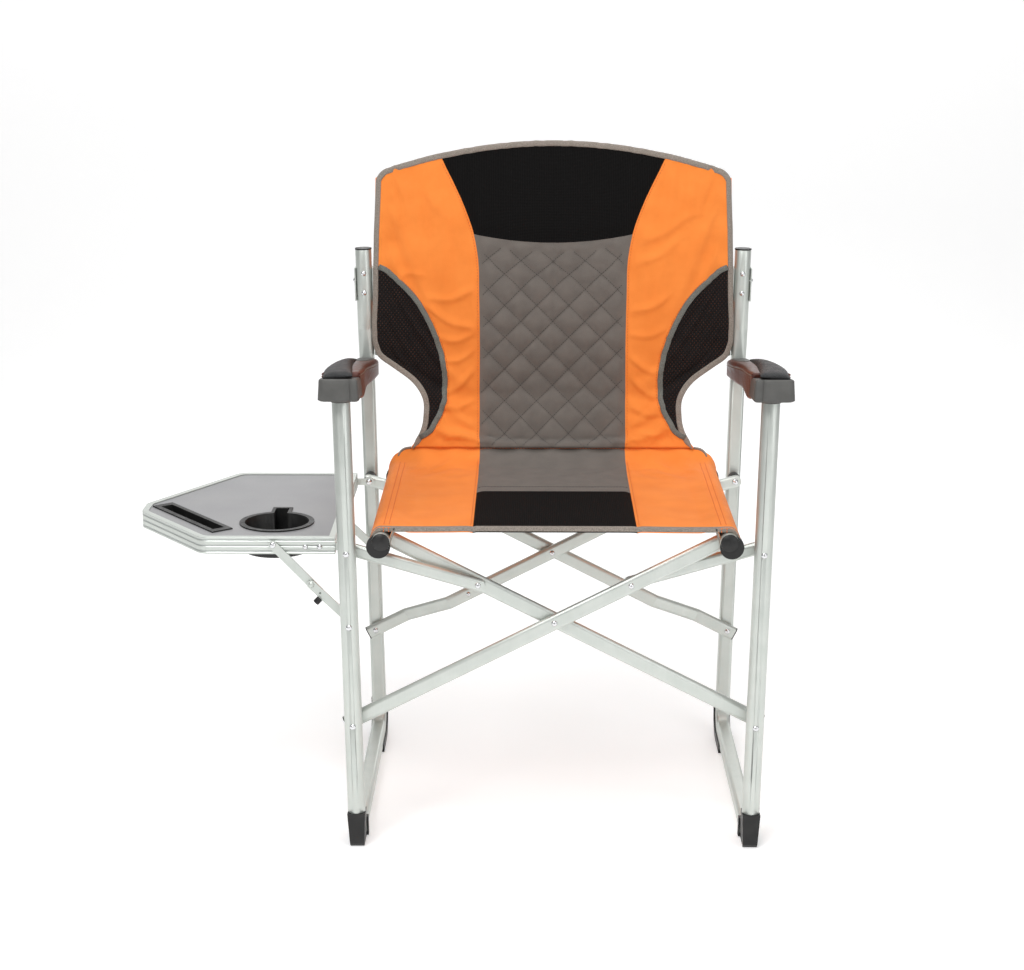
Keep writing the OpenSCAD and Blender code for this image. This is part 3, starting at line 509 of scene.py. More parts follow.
def ribbed_metal():
    """The table's edge profile: satin aluminium with extruded lines along it, with painted shade in the
    lines' grooves.
    """
    s = Shader("ribbed_metal", (0.59, 0.625, 0.59), 0.40, 0.75)
    lines = s.wave(0.008, "Z")
    marks = s.noise(35, 4)
    satin = s.mix(marks, (0.58, 0.615, 0.58), (0.64, 0.67, 0.635))
    # Painted shade: the grooves of the lines are coloured darker than the satin between them.
    s.tint(lines, 0.0, 0.35, (0.40, 0.425, 0.41), satin)
    s.rough(marks, 0.3, 0.8, 0.36, 0.46)
    s.bump(s.ramp(lines, 0.0, 0.4), 0.0010, 0.8)
    return s.material


def zinc():
    s = Shader("zinc", (0.72, 0.72, 0.73), 0.2, 1.0)
    spangle = s.noise(600, 3)
    s.colour(s.mix(spangle, (0.60, 0.61, 0.63), (0.84, 0.84, 0.85)))
    s.rough(spangle, 0.2, 0.8, 0.14, 0.34)
    s.bump(spangle, 0.0001, 0.3)
    return s.material


def black_plastic():
    s = Shader("black_plastic", (0.012, 0.012, 0.012), 0.45, Specular_IOR_Level=0.4)
    grain = s.cells(0.0011, 1.0)
    s.tint(s.noise(30, 5), 0.45, 0.8, (0.010, 0.010, 0.010), (0.026, 0.025, 0.024))
    s.rough(s.noise(120, 3), 0.3, 0.7, 0.36, 0.52)
    s.bump(grain, 0.00025, 0.35)
    return s.material


def soft_pad():
    """Charcoal grip with a pressed leather grain, with painted shade in the grain's crevices."""
    s = Shader("soft_pad", (0.045, 0.047, 0.05), 0.6)
    grain = s.cells(0.0022, 1.0, "DISTANCE_TO_EDGE")
    # Painted shade: the grain's crevices are coloured darker than its raised cells.
    s.tint(grain, 0.0, 0.12, (0.010, 0.0105, 0.011), (0.036, 0.037, 0.039))
    s.rough(s.noise(90, 3), 0.3, 0.7, 0.5, 0.66)
    s.bump(s.ramp(grain, 0.0, 0.15), 0.0007, 0.8)
    return s.material


def brown_plastic():
    """Wood-look moulding with long dark streaks."""
    s = Shader("brown_plastic", (0.09, 0.024, 0.016), 0.42, Specular_IOR_Level=0.4)
    streaks = s.noise(150, 4, 0.6, s.where(scale=(1, 0.06, 1)))
    s.tint(streaks, 0.3, 0.7, (0.045, 0.013, 0.010), (0.125, 0.036, 0.023))
    s.rough(streaks, 0.3, 0.7, 0.32, 0.48)
    s.bump(s.noise(900, 2), 0.00012, 0.4)
    return s.material


def table_board():
    s = Shader("table_board", (0.30, 0.30, 0.31), 0.42, Specular_IOR_Level=0.4)
    grain = s.noise(1400, 2)
    s.tint(s.noise(14, 4), 0.3, 0.7, (0.270, 0.271, 0.280), (0.300, 0.300, 0.305))
    s.rough(grain, 0.3, 0.7, 0.36, 0.5)
    s.bump(grain, 0.00012, 0.4)
    return s.material


def matt_plastic(name, colour):
    s = Shader(name, colour, 0.55, Specular_IOR_Level=0.35)
    s.tint(s.noise(55, 4), 0.3, 0.7, tuple(c * 0.8 for c in colour), colour)
    s.bump(s.noise(1100, 2), 0.00015, 0.4)
    return s.material


# In each call, the (colour, share) pair before the last number is a painted highlight on the raised threads.
ORANGE = woven_cloth(
    "orange_cloth", (0.94, 0.24, 0.03), 0.82, 0.4, 0.0009, (0.0003, 0.6), 22,
    ((0.88, 0.215, 0.022), (0.97, 0.265, 0.036)), ((1.0, 0.33, 0.06), 0.35), 260,
)
GREY = woven_cloth(
    "grey_cloth", (0.14, 0.12, 0.105), 0.88, 0.5, 0.0010, (0.0004, 0.8), 40,
    ((0.115, 0.10, 0.088), (0.155, 0.135, 0.118)), ((0.25, 0.225, 0.20), 0.5), 300,
)
BLACK_MESH, LUMBAR_MESH = cloth_black_mesh(), cloth_lumbar_mesh()
TAUPE = ribbon("taupe_binding", (0.17, 0.145, 0.12), (0.30, 0.26, 0.225))
LUMBAR_BINDING = ribbon("lumbar_binding", (0.095, 0.10, 0.09), (0.17, 0.175, 0.155))
# The orange thread is the thread's own colour, made deeper to carry painted shade along the seams.
ORANGE_THREAD = thread("orange_thread", (0.84, 0.165, 0.014))
GREY_THREAD = thread("grey_thread", (0.045, 0.040, 0.036))
METAL, EDGE_METAL, ZINC, BLACK = satin_metal(), ribbed_metal(), zinc(), black_plastic()
PAD, BROWN, BOARD = soft_pad(), brown_plastic(), table_board()
# The pale groove line's material is a painted highlight along the armrest's grooves.
GROOVE_HIGHLIGHT, INSERT = matt_plastic("arm_groove_highlight", (0.42, 0.37, 0.31)), matt_plastic("arm_insert", (0.12, 0.118, 0.112))
NOSE = matt_plastic("arm_nose", (0.10, 0.099, 0.094))


# ---------- CAD pieces that show ----------

def dress_cad_nodes():
    """Each CAD node takes its finish and a small round on its hard edges."""
    finish = {
        "frame_aluminium": METAL, "table_edge": EDGE_METAL, "zinc": ZINC, "black_plastic": BLACK,
        "pad_charcoal": PAD, "armrest_brown": BROWN, "table_board": BOARD,
        "seat_fabric": ORANGE, "back_fabric": ORANGE,
    }
    edge = {"zinc": 0.0002, "black_plastic": 0.0007, "table_edge": 0.0006}
    for part in frame["record"]["subparts"]:
        obj = frame["nodes"][part["node"]]
        slot = part["material_slot"]
        obj.data.materials.clear()
        obj.data.materials.append(finish[slot])
        weld = obj.modifiers.new("weld", "WELD")
        weld.merge_threshold = 0.00002
        bevel = obj.modifiers.new("edges", "BEVEL")
        bevel.width = edge.get(slot, 0.0004)
        bevel.segments = 2
        bevel.limit_method = "ANGLE"
        bevel.angle_limit = math.radians(38)
        bevel.harden_normals = True


# ---------- backrest ----------

BACK_LOW = SEAM_Z
BACK_HALF = 0.2785
DIP_Z = 0.8156
DIP = 0.0139
LUMBAR_LOW, LUMBAR_HIGH = 0.4975, 0.766
back_edge = curve_through([
    (0.4856, 0.2192), (0.4975, 0.2110), (0.510, 0.2040), (0.534, 0.1990), (0.562, 0.2015), (0.584, 0.2165),
    (0.6075, 0.2480), (0.622, 0.2680), (0.640, 0.2765), (0.665, BACK_HALF), (0.712, 0.2765), (0.766, 0.2748),
    (0.888, 0.2708), (0.936, 0.2690),
])
lumbar_edge = curve_through([
    (0.4975, 0.2110), (0.508, 0.1925), (0.520, 0.1835), (0.558, 0.1680), (0.589, 0.1650), (0.630, 0.1710),
    (0.676, 0.1870), (0.721, 0.2150), (0.748, 0.2430), (0.760, 0.2600), (0.766, 0.2748),
])
centre_edge = curve_through([
    (0.4856, PANEL_HALF), (0.72, PANEL_HALF), (0.78, 0.1145), (0.8156, 0.1210), (0.856, 0.1332),
    (0.930, 0.1625), (0.9536, 0.1720),
])
CORNER_R = 0.016
ARCH = 0.66
QUILT = PANEL_HALF * 2 / 64 * 14


def outline(v):
    """Half the backrest's width at nominal height v, with its rounded upper corner."""
    up = v - (BACK_TOP - CORNER_R)
    corner = CORNER_R * (1 - math.sqrt(max(0.0, 1 - (up / CORNER_R) ** 2))) if up > 0 else 0.0
    return back_edge(v) - min(corner, CORNER_R * 0.98)


def orange_edge(v):
    return lumbar_edge(v) if LUMBAR_LOW < v < LUMBAR_HIGH else outline(v)


def pole_x(z):
    share = (z - POLE_LOW[2]) / (POLE_HIGH[2] - POLE_LOW[2])
    return POLE_LOW[0] + (POLE_HIGH[0] - POLE_LOW[0]) * share


def back_height(u, v):
    """Height of the backrest's point (u, v): the top arches and the black panel's seam dips."""
    arch = ARCH * u * u * smooth(0.78, BACK_TOP, v)
    seam = DIP * max(0.0, 1 - (u / 0.121) ** 2) * max(0.0, 1 - abs(v - DIP_Z) / 0.07)
    return v - arch - seam


def back_depth(u, v):
    """Distance of the backrest's face behind the seat's front edge."""
    slant = 0.0275 * (1 - smooth(BACK_LOW - 0.05, 0.645, v)) * 1.35
    bow = 0.007 * max(0.0, 1 - (u / 0.26) ** 2) * smooth(0.50, 0.62, v)
    past = min(max(0.62 * (abs(u) - pole_x(v)) / POLE_SLEEVE_R, 0.0), 0.9)
    wrap = POLE_SLEEVE_R * (1 - math.sqrt(1 - past * past)) * smooth(0.612, 0.645, v)
    return BACK_Y - slant + bow + wrap


def back_point(u, v):
    return at(u, back_depth(u, v), back_height(u, v))


def back_rows():
    """Rows of the backrest, with one on each seam."""
    shoulder = BACK_TOP - CORNER_R
    rows = rows_between([BACK_LOW, LUMBAR_LOW, LUMBAR_HIGH, DIP_Z, shoulder], PANEL_HALF * 2 / 64)
    return rows + [shoulder + CORNER_R * s for s, _ in quarter(7)]


def back_cloth():
    cloth = Cloth()
    rows = back_rows()
    middle = [v for v in rows if LUMBAR_LOW <= v <= LUMBAR_HIGH]
    cloth.patch(rows, lambda v: -centre_edge(v), centre_edge, 64, lambda v: 2 if v > DIP_Z else 1)
    cloth.sides(rows, centre_edge, orange_edge, 34, 0)
    cloth.sides(middle, orange_edge, outline, 34, 3)
    return cloth


# Creases in the orange side panels, as (u, v) from, (u, v) to, height and half width
CREASES = [
    ((-0.236, 0.745), (-0.196, 0.756), 0.0022, 0.0050), ((-0.192, 0.711), (-0.116, 0.727), 0.0030, 0.0060),
    ((-0.203, 0.704), (-0.113, 0.664), 0.0030, 0.0065), ((-0.172, 0.652), (-0.113, 0.660), 0.0028, 0.0055),
    ((-0.166, 0.618), (-0.114, 0.634), 0.0026, 0.0050), ((-0.172, 0.566), (-0.116, 0.604), 0.0032, 0.0060),
    ((-0.178, 0.545), (-0.114, 0.556), 0.0028, 0.0050), ((-0.196, 0.512), (-0.116, 0.500), 0.0026, 0.0060),
    ((-0.205, 0.905), (-0.165, 0.850), 0.0018, 0.0090),
    ((0.136, 0.800), (0.222, 0.856), 0.0024, 0.0080), ((0.128, 0.765), (0.205, 0.812), 0.0024, 0.0070),
    ((0.116, 0.690), (0.182, 0.722), 0.0026, 0.0060), ((0.115, 0.655), (0.172, 0.668), 0.0028, 0.0055),
    ((0.114, 0.622), (0.164, 0.602), 0.0028, 0.0055), ((0.116, 0.590), (0.170, 0.560), 0.0032, 0.0060),
    ((0.114, 0.545), (0.180, 0.536), 0.0028, 0.0050), ((0.120, 0.505), (0.192, 0.512), 0.0026, 0.0060),
]


def crease(u, v, start, end, height, reach):
    """A ridge with a sharp side along a line, fading at both ends."""
    du, dv = end[0] - start[0], end[1] - start[1]
    length = math.hypot(du, dv)
    t = ((u - start[0]) * du + (v - start[1]) * dv) / length ** 2
    if not -0.15 < t < 1.15:
        return 0.0
    off = ((v - start[1]) * du - (u - start[0]) * dv) / length + 0.004 * math.sin(3 * t + u * 40)
    width = reach * (0.55 if off < 0 else 1.25)
    return height * math.exp(-((off / width) ** 2)) * smooth(-0.15, 0.25, t) * smooth(1.15, 0.7, t)


def wrinkles(u, v):
    """Height of the creases and of the soft folds that run in from the waist and the lumbar curve."""
    x = abs(u)
    side = smooth(PANEL_HALF - 0.004, PANEL_HALF + 0.014, x)
    waist = math.exp(-(((v - 0.575) / 0.075) ** 2))
    pulls = math.sin(v * 160 + u * 46 + 2.2 * math.sin(v * 47)) * waist
    high = math.sin(v * 95 - u * 60 + 1.5) * math.exp(-(((v - 0.80) / 0.06) ** 2)) * 0.35
    return side * (0.0009 * (pulls + high) + sum(crease(u, v, *one) for one in CREASES if one[0][0] * u > 0))


def quilting(u, v):
    """Height of the diamonds that the stitching leaves in the grey panel."""
    if abs(u) >= PANEL_HALF or v >= DIP_Z:
        return 0.0
    rise = v - BACK_LOW
    depth = abs(math.sin(math.pi * (u + rise) / QUILT) * math.sin(math.pi * (u - rise) / QUILT))
    edge = smooth(0, 0.012, PANEL_HALF - abs(u)) * smooth(0, 0.012, DIP_Z - v)
    calm = 0.5 + 0.5 * smooth(0.80, 0.66, v) + 0.10 * math.sin(u * 70 + 3) * math.sin(v * 61)
    return 0.0046 * depth ** 0.5 * edge * calm


def panel_puff(u, v):
    """The black top panel stands a little proud between its seams."""
    if v < DIP_Z or abs(u) > centre_edge(v):
        return 0.0
    return 0.0018 * smooth(0, 0.02, v - DIP_Z) * smooth(0, 0.02, centre_edge(v) - abs(u))


def seam_dents(u, v):
    """The cloth is drawn in along each sewn seam."""
    gap = abs(abs(u) - centre_edge(v))
    return -0.0011 * math.exp(-((gap / 0.0035) ** 2))


def make_back():
    cloth = back_cloth()
    points = [back_point(u, v) for u, v in cloth.flat]
    fabrics = (ORANGE, GREY, BLACK_MESH, LUMBAR_MESH)
    back = add_object("back_panel", points, cloth.faces, fabrics, cloth.slots, cloth.flat)

    def held(u, v):
        side = smooth(0.030, 0.012, outline(v) - abs(u))
        return max(side, smooth(0.012, 0.0, v - BACK_LOW), smooth(0.035, 0.0, BACK_TOP - v))

    simulate(back, cloth.flat, held, 18, 0.009, {
        "mass": 0.15, "tension_stiffness": 25, "compression_stiffness": 25,
        "shear_stiffness": 12, "bending_stiffness": 1.2, "shrink_min": -0.012,
    })
    mesh = back.data
    mesh.update()
    normals = [Vector(n.vector) for n in mesh.vertex_normals]
    for vertex, normal, (u, v) in zip(mesh.vertices, normals, cloth.flat):
        out = normal if normal.y < 0 else -normal
        vertex.co += out * (wrinkles(u, v) + quilting(u, v) + panel_puff(u, v) + seam_dents(u, v))
    mesh.update()
    return back, cloth


def back_lookup(back, cloth):
    """A function from flat (u, v) to the finished surface and its outward direction."""
    tree = KDTree(len(cloth.flat))
    for i, (u, v) in enumerate(cloth.flat):
        tree.insert((u, v, 0), i)
    tree.balance()
    normals = [Vector(n.vector) for n in back.data.vertex_normals]

    def surface(u, v):
        total, spot, out = 0.0, Vector(), Vector()
        for _, i, distance in tree.find_n((u, v, 0), 4):
            weight = 1 / (distance + 1e-5)
            spot += back.data.vertices[i].co * weight
            out += (normals[i] if normals[i].y < 0 else -normals[i]) * weight
            total += weight
        return spot / total, out.normalized()

    return surface


def line_along(surface, rows, value_of, lift=0.0):
    """Points and outward directions along the flat line u = value_of(v), lifted off the cloth."""
    spots = [surface(value_of(v), v) for v in rows]
    return [p + n * lift for p, n in spots], [n for _, n in spots]


def stitches(path, normals, length=0.0034, gap=0.0012, radius=0.00052):
    """Short thread runs that sit on a path, as one part."""
    points, faces = [], []
    run, lengths = 0.0, [0.0]
    stations = ((0.0, 0.25), (0.18, 0.85), (0.5, 1.0), (0.82, 0.85), (1.0, 0.25))
    turn = [2 * math.pi * k / 6 for k in range(6)]
    for a, b in zip(path, path[1:]):
        lengths.append(lengths[-1] + (b - a).length)

    def spot(s):
        i = min(max(int(np.searchsorted(lengths, s)) - 1, 0), len(path) - 2)
        t = (s - lengths[i]) / max(lengths[i + 1] - lengths[i], 1e-9)
        return path[i].lerp(path[i + 1], t), normals[i].lerp(normals[i + 1], t).normalized()

    while run + length < lengths[-1]:
        rings = []
        for share, size in stations:
            here, step = share * length, 0.0005
            p, n = spot(run + here)
            ahead = spot(run + min(here + step, length))[0] - spot(run + here - step)[0]
            side = ahead.cross(n).normalized()
            foot = p + n * (0.00035 * size)
            rings.append([foot + (side * math.cos(a) + n * math.sin(a)) * radius * size for a in turn])
        run_points, run_faces = loft(rings)
        faces += [tuple(len(points) + i for i in face) for face in run_faces]
        points += run_points
        run += length + gap
    return points, faces, 0


def back_rim():
    """The backrest's outline from the right seam corner, over the top, to the left one."""
    rows = back_rows()
    right = [(outline(v), v) for v in rows]
    top = [(u, BACK_TOP) for u in steps(-outline(BACK_TOP), outline(BACK_TOP), 0.006)[1:-1]]
    left = [(-u, v) for u, v in reversed(right)]
    return right + list(reversed(top)) + left


def make_back_bindings(surface):
    """The binding round the backrest's edge, thinner at its two ends, and those of the lumbar panels."""
    spots = [surface(u, v) for u, v in back_rim()]
    path = [p for p, _ in spots]
    centre = at(0, POLE_Y, 0.70)
    inward = []
    for i, (p, normal) in enumerate(spots):
        side = direction_at(path, i).cross(normal).normalized()
        inward.append(side if side.dot(centre - p) > 0 else -side)
    shifted = [p + d * 0.0032 - n * CLOTH_T / 2 for (p, n), d in zip(spots, inward)]
    sizes = [0.25 + 0.75 * smooth(0, 4, min(i, len(path) - 1 - i)) for i in range(len(path))]
    rim = join("back_binding", [(*sweep(shifted, inward, oval(0.0088, 0.0042), sizes), 0)], (TAUPE,))

    parts = []
    for side in (1, -1):
        rows = steps(LUMBAR_LOW + 0.003, LUMBAR_HIGH - 0.003, 0.004)
        line, normals = line_along(surface, rows, lambda v: side * lumbar_edge(v), 0.0006)
        across = [direction_at(line, i).cross(n).normalized() for i, n in enumerate(normals)]
        parts.append((*sweep(line, across, oval(0.0084, 0.0030)), 0))
    return rim, join("lumbar_bindings", parts, (LUMBAR_BINDING,))


def make_back_stitches(surface):
    """Thread beside the centre panel's seams and inside the lumbar bindings."""
    parts = []
    for side in (1, -1):
        for low, high, edge, gap in (
            (BACK_LOW + 0.004, BACK_TOP - 0.012, centre_edge, 0.0028),
            (LUMBAR_LOW + 0.02, LUMBAR_HIGH - 0.02, lumbar_edge, -0.0062),
        ):
            rows = steps(low, high, 0.004)
            parts.append(stitches(*line_along(surface, rows, lambda v: side * (edge(v) + gap))))
    return join("back_stitches", parts, (ORANGE_THREAD,))


def make_quilt_stitches(surface):
    """Thread in the valleys of the quilting."""
    parts = []
    reach = DIP_Z - BACK_LOW
    for lean in (1, -1):
        count = int((reach + 2 * PANEL_HALF) / QUILT) + 1
        for k in range(-count, count + 1):
            line = []
            for v in steps(BACK_LOW + 0.004, DIP_Z - 0.016, 0.0035):
                u = lean * (k * QUILT - (v - BACK_LOW))
                if abs(u) < PANEL_HALF - 0.003:
                    line.append((u, v))
            if len(line) > 4:
                spots = [surface(u, v) for u, v in line]
                parts.append(stitches([p for p, _ in spots], [n for _, n in spots], 0.0030, 0.0008, 0.00046))
    return join("quilt_stitches", parts, (GREY_THREAD,))


def make_pole_sleeve(name, side):
    """The cloth round one pole, closed by a strip that is sewn to the backrest's rear face."""
    turn = [math.radians(a) for a in range(-56, 121, 8)]
    strip = 0.030
    rings = []
    for z in steps(0.640, 0.897, 0.005):
        cx = pole_x(z)
        ring = [(cx + POLE_SLEEVE_R * math.cos(a), POLE_Y + POLE_SLEEVE_R * math.sin(a)) for a in turn]
        last_x, last_y = ring[-1]
        end_x, end_y = cx - strip, back_depth(cx - strip, z) + CLOTH_T
        for t in np.linspace(0, 1, 7)[1:]:
            ring.append((last_x + (end_x - last_x) * t, last_y + (end_y - last_y) * t ** 0.85))
        rings.append([at(x, y, z) for x, y in ring])
    n = len(rings[0])
    faces = [
        (j * n + k, j * n + k + 1, (j + 1) * n + k + 1, (j + 1) * n + k)
        for j in range(len(rings) - 1) for k in range(n - 1)
    ]
    sleeve = join(name, [sided(([p for ring in rings for p in ring], faces, 0), side)], (ORANGE,))
    thicken(sleeve, 0.0012, 0)
    return sleeve


# ---------- seat ----------

RAIL_WRAP = math.radians(205)
UNDER_LEN = 0.027
SLEEVE_ARC = SLEEVE_R * RAIL_WRAP
SEAT_RISE = 0.042
SEAT_END = SEAT_BEND_Y + SEAT_RISE
SEAT_TURN = SEAT_END - 0.018
SLEEVE_END = SEAT_END - 0.006
SLEEVE_LEN = SLEEVE_ARC + UNDER_LEN
MESH_REAR = 0.2115
RAIL_SEAMS = (RAIL_X - 0.0109, RAIL_X - 0.0037)


def seat_line(v):
    """(y, z) of the seat's middle line at flat distance v from the front edge."""
    if v <= SEAT_BEND_Y:
        droop = 0.0010 * smooth(0.014, 0.0, v)
        return v, SEAT_Z - droop
    t = min((v - SEAT_BEND_Y) / SEAT_RISE, 1.0)
    mid_y = 0.390
    y = (1 - t) ** 2 * SEAT_BEND_Y + 2 * t * (1 - t) * mid_y + t * t * SEAM_Y
    z = (1 - t) ** 2 * SEAT_Z + 2 * t * (1 - t) * SEAT_Z + t * t * SEAM_Z
    return y, z


def seat_half(v):
    """Half the seat's width at v, up to where the sleeve starts to turn down."""
    if v <= SEAT_TURN:
        return RAIL_X
    t = (v - SEAT_TURN) / (SEAT_END - SEAT_TURN)
    return RAIL_X + (SEAM_HALF - RAIL_X) * (1 - math.sqrt(max(0.0, 1 - t * t)))


def seat_pad(u, v):
    """The centre panel is padded and stands proud of the orange ones."""
    inside = smooth(0, 0.010, PANEL_HALF - abs(u))
    return 0.0016 * inside * smooth(0, 0.014, v) - 0.0009 * math.exp(-(((abs(u) - PANEL_HALF) / 0.003) ** 2))


def seat_folds(u, v):
    """Shallow ripples in the orange panels, stronger towards the rear."""
    x = abs(u)
    side = smooth(PANEL_HALF, 0.14, x) * smooth(RAIL_X, RAIL_X - 0.02, x)
    rear = smooth(0.22, 0.36, v)
    ripple = math.sin(x * 120 + v * 40 + math.sin(v * 60)) * rear + 0.5 * math.sin(v * 55 + x * 25)
    return 0.0014 * side * ripple


def sleeve_spot(s):
    """(x, z) of the sleeve at distance s past the rail's top, round the rail and back under the seat."""
    if s <= SLEEVE_ARC:
        a = s / SLEEVE_R
        lift = FOAM * max(0.0, math.cos(a)) ** 2
        return RAIL_X + SLEEVE_R * math.sin(a), RAIL_Z + SLEEVE_R * math.cos(a) + lift
    t = (s - SLEEVE_ARC) / UNDER_LEN
    x0, z0 = RAIL_X + SLEEVE_R * math.sin(RAIL_WRAP), RAIL_Z + SLEEVE_R * math.cos(RAIL_WRAP)
    return x0 + (RAIL_X - 0.018 - x0) * t, z0 + (SEAT_Z - 0.0022 - z0) * t


def sleeve_length(v):
    """How far the sleeve runs past the rail's top at v; it is cut away at its rear end."""
    start = SEAT_BEND_Y - 0.004
    t = min(max((v - start) / (SLEEVE_END - start), 0.0), 1.0)
    return SLEEVE_LEN * math.sqrt(1 - t * t)


def seat_point(u, v):
    y, z = seat_line(v)
    half = seat_half(v)
    if abs(u) <= half + 1e-7:
        lift = seat_pad(u, v) + seat_folds(u, v)
        return at(u, y, z + lift)
    x, sleeve_z = sleeve_spot(abs(u) - half)
    return at(math.copysign(x + half - RAIL_X, u), y, sleeve_z + (z - SEAT_Z))


def make_seat():
    cloth = Cloth()
    rows = rows_between([0.0, MESH_REAR, SEAT_BEND_Y, SLEEVE_END, SEAT_END], PANEL_HALF * 2 / 56) + [SEAT_END]
    sleeve_rows = [v for v in rows if v <= SLEEVE_END + 1e-9]
    cloth.patch(rows, lambda v: -PANEL_HALF, lambda v: PANEL_HALF, 56, lambda v: 1 if v > MESH_REAR else 2)
    cloth.sides(rows, lambda v: PANEL_HALF, seat_half, 32, 0)
    cloth.sides(sleeve_rows, seat_half, lambda v: seat_half(v) + sleeve_length(v), 26, 0)
    points = [seat_point(u, v) for u, v in cloth.flat]
    fabrics = (ORANGE, GREY, BLACK_MESH)
    seat = add_object("seat_panel", points, cloth.faces, fabrics, cloth.slots, cloth.flat)

    def held(u, v):
        return max(smooth(RAIL_X - 0.028, RAIL_X - 0.010, abs(u)), smooth(0.385, 0.400, v))

    simulate(seat, cloth.flat, held, 16, 0.006, {
        "mass": 0.2, "tension_stiffness": 40, "compression_stiffness": 40,
        "shear_stiffness": 20, "bending_stiffness": 2.0, "shrink_min": -0.004,
    })
    return seat, cloth


def make_seat_binding():
    """Thick binding along the seat's front edge and round the open ends of its sleeves."""
    past = steps(0, SLEEVE_LEN, 0.003)[1:]
    path, outs, sizes = [], [], []
    stops = [-RAIL_X - s for s in reversed(past)] + steps(-RAIL_X, RAIL_X, 0.006) + [RAIL_X + s for s in past]
    for u in stops:
        turn = min(max(abs(u) - RAIL_X, 0.0) / SLEEVE_R, RAIL_WRAP)
        out = Vector((math.copysign(math.sin(turn), u), 0, math.cos(turn)))
        size = 1.0 - 0.45 * smooth(0, math.radians(75), turn)
        path.append(seat_point(u, 0.0022) - out * (0.0030 * size))
        outs.append(out)
        sizes.append(size)
    front = (*sweep(path, outs, oval(0.0078, 0.0048), sizes), 0)
    corner = [seat_point(seat_half(v), v) for v in steps(SEAT_TURN, SEAT_END, 0.0015)]
    thin = list(np.linspace(0.35, 1.0, len(corner)))
    edge = (*sweep(corner, [Vector((1, 1, 0))] * len(corner), oval(0.0042, 0.0034), thin), 0)
    return join("seat_binding", [front, edge, sided(edge, -1)], (TAUPE,))


def make_seat_stitches():
    """Thread beside the seams, over the front binding and, in grey, along the mesh panel's rear edge."""
    parts = []
    up = Vector((0, 0, 1))
    lines = [(x, 0.010, 0.372) for x in RAIL_SEAMS] + [(PANEL_HALF + 0.0028, 0.010, 0.385)]
    for side in (1, -1):
        for x, start, end in lines:
            path = [seat_point(side * x, v) for v in steps(start, end, 0.004)]
            parts.append(stitches(path, [up] * len(path)))
    for x in RAIL_SEAMS:
        for side in (1, -1):
            edge = [at(side * x, -0.0005, SEAT_Z - 0.0042 + z) for z in steps(-0.0040, 0.0040, 0.0016)]
            parts.append(stitches(edge, [Vector((0, -1, 0))] * len(edge), 0.0030, 0.0008, 0.0006))

    def row(v, half):
        return [seat_point(u, v) for u in steps(-half, half, 0.004)]

    across = row(MESH_REAR + 0.0025, PANEL_HALF - 0.002)
    rear = row(SEAT_END - 0.004, SEAM_HALF - 0.004)
    parts.append(stitches(rear, [Vector((0, -0.6, 0.8))] * len(rear)))
    parts.append((*stitches(across, [up] * len(across))[:2], 1))
    return join("seat_stitches", parts, (ORANGE_THREAD, GREY_THREAD))


# ---------- armrests ----------

ARM_X = centre_of("arm_tube_right")[0]
NOSE_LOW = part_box("armrest_nose_right")[0]
PAD_LOW, PAD_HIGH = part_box("armrest_pad_right")
ARM_LOW, ARM_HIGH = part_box("armrest_right")
ARM_FALL = (PAD_HIGH.z - slice_of("armrest_right", PAD_HIGH.y)[1]) / (PAD_HIGH.y - PAD_LOW.y)
NOSE_HALF = slice_of("armrest_nose_right", NOSE_LOW.y)[0]
REAR_HALF = slice_of("armrest_right", ARM_HIGH.y)[0]
ARM_LEN = ARM_HIGH.y - NOSE_LOW.y
NOSE_LEN = ARM_LOW.y - NOSE_LOW.y
GROOVE = 0.0045
PAD_T = 0.007
FLUTE = 0.021
PAD_FROM, PAD_TO = 0.0085, 0.440
INSERT_LEN, INSERT_HALF = 0.100, 0.0125
arm_depth = curve_through([
    (0.0, 0.024), (0.063, 0.0305), (0.09, 0.0340), (0.165, 0.0305), (0.231, 0.0280), (0.363, 0.0256),
    (0.471, 0.0223),
])


def arm_point(x, d, z):
    """A point of the right armrest: x out from its middle line, d back from its front, z from the floor."""
    return Vector((MIDDLE_X + ARM_X + x, NOSE_LOW.y + d, z))


def arm_top(d):
    return PAD_HIGH.z - ARM_FALL * (NOSE_LOW.y + d - PAD_LOW.y) - 0.0022 * smooth(0.20, ARM_LEN, d)


def groove_drop(d):
    """How far the groove lies under the top, which is more crowned towards its rear."""
    return GROOVE + 0.0035 * smooth(0.10, 0.45, d)


def arm_half(d):
    return NOSE_HALF - 0.0015 + (REAR_HALF - NOSE_HALF + 0.0015) * smooth(0.09, 0.27, d)


def moulding_ring(d):
    """The moulding's section: rounded underside, fluted sides, a groove under the top edge, a round top."""
    half, low, groove = arm_half(d), -arm_depth(d) - GROOVE, groove_drop(d)
    end = 1 - 0.10 * smooth(ARM_LEN - 0.004, ARM_LEN, d)
    flute = 0.0009 * (0.5 - 0.5 * math.cos(2 * math.pi * d / FLUTE))
    corner, shoulder = 0.004, 0.0075
    right = [(0.0, low), (half * 0.5, low)]
    for k, (s, c) in enumerate(quarter(4)):
        right.append((half - corner * (1 - s) - flute * k / 4, low + corner * (1 - c)))
    side_low, side_high = low + corner * 1.5, -groove - 0.0022
    for k in range(7):
        right.append((half - flute * (1 - 0.5 * (k / 6) ** 4), side_low + (side_high - side_low) * k / 6))
    for inset, rise in ((0.0, -0.0010), (0.0013, -0.0005), (0.0013, 0.0005), (0.0, 0.0010)):
        right.append((half - inset, -groove + rise))
    right += [(half - shoulder * (1 - c), (groove - 0.001) * (s - 1)) for s, c in quarter(6)[1:]]
    right += [(half * 0.35, 0.0003), (0.0, 0.0005)]
    ring = right + [(-x, z) for x, z in reversed(right[1:-1])]
    return [arm_point(x * end, d, arm_top(d) + z * end) for x, z in ring]


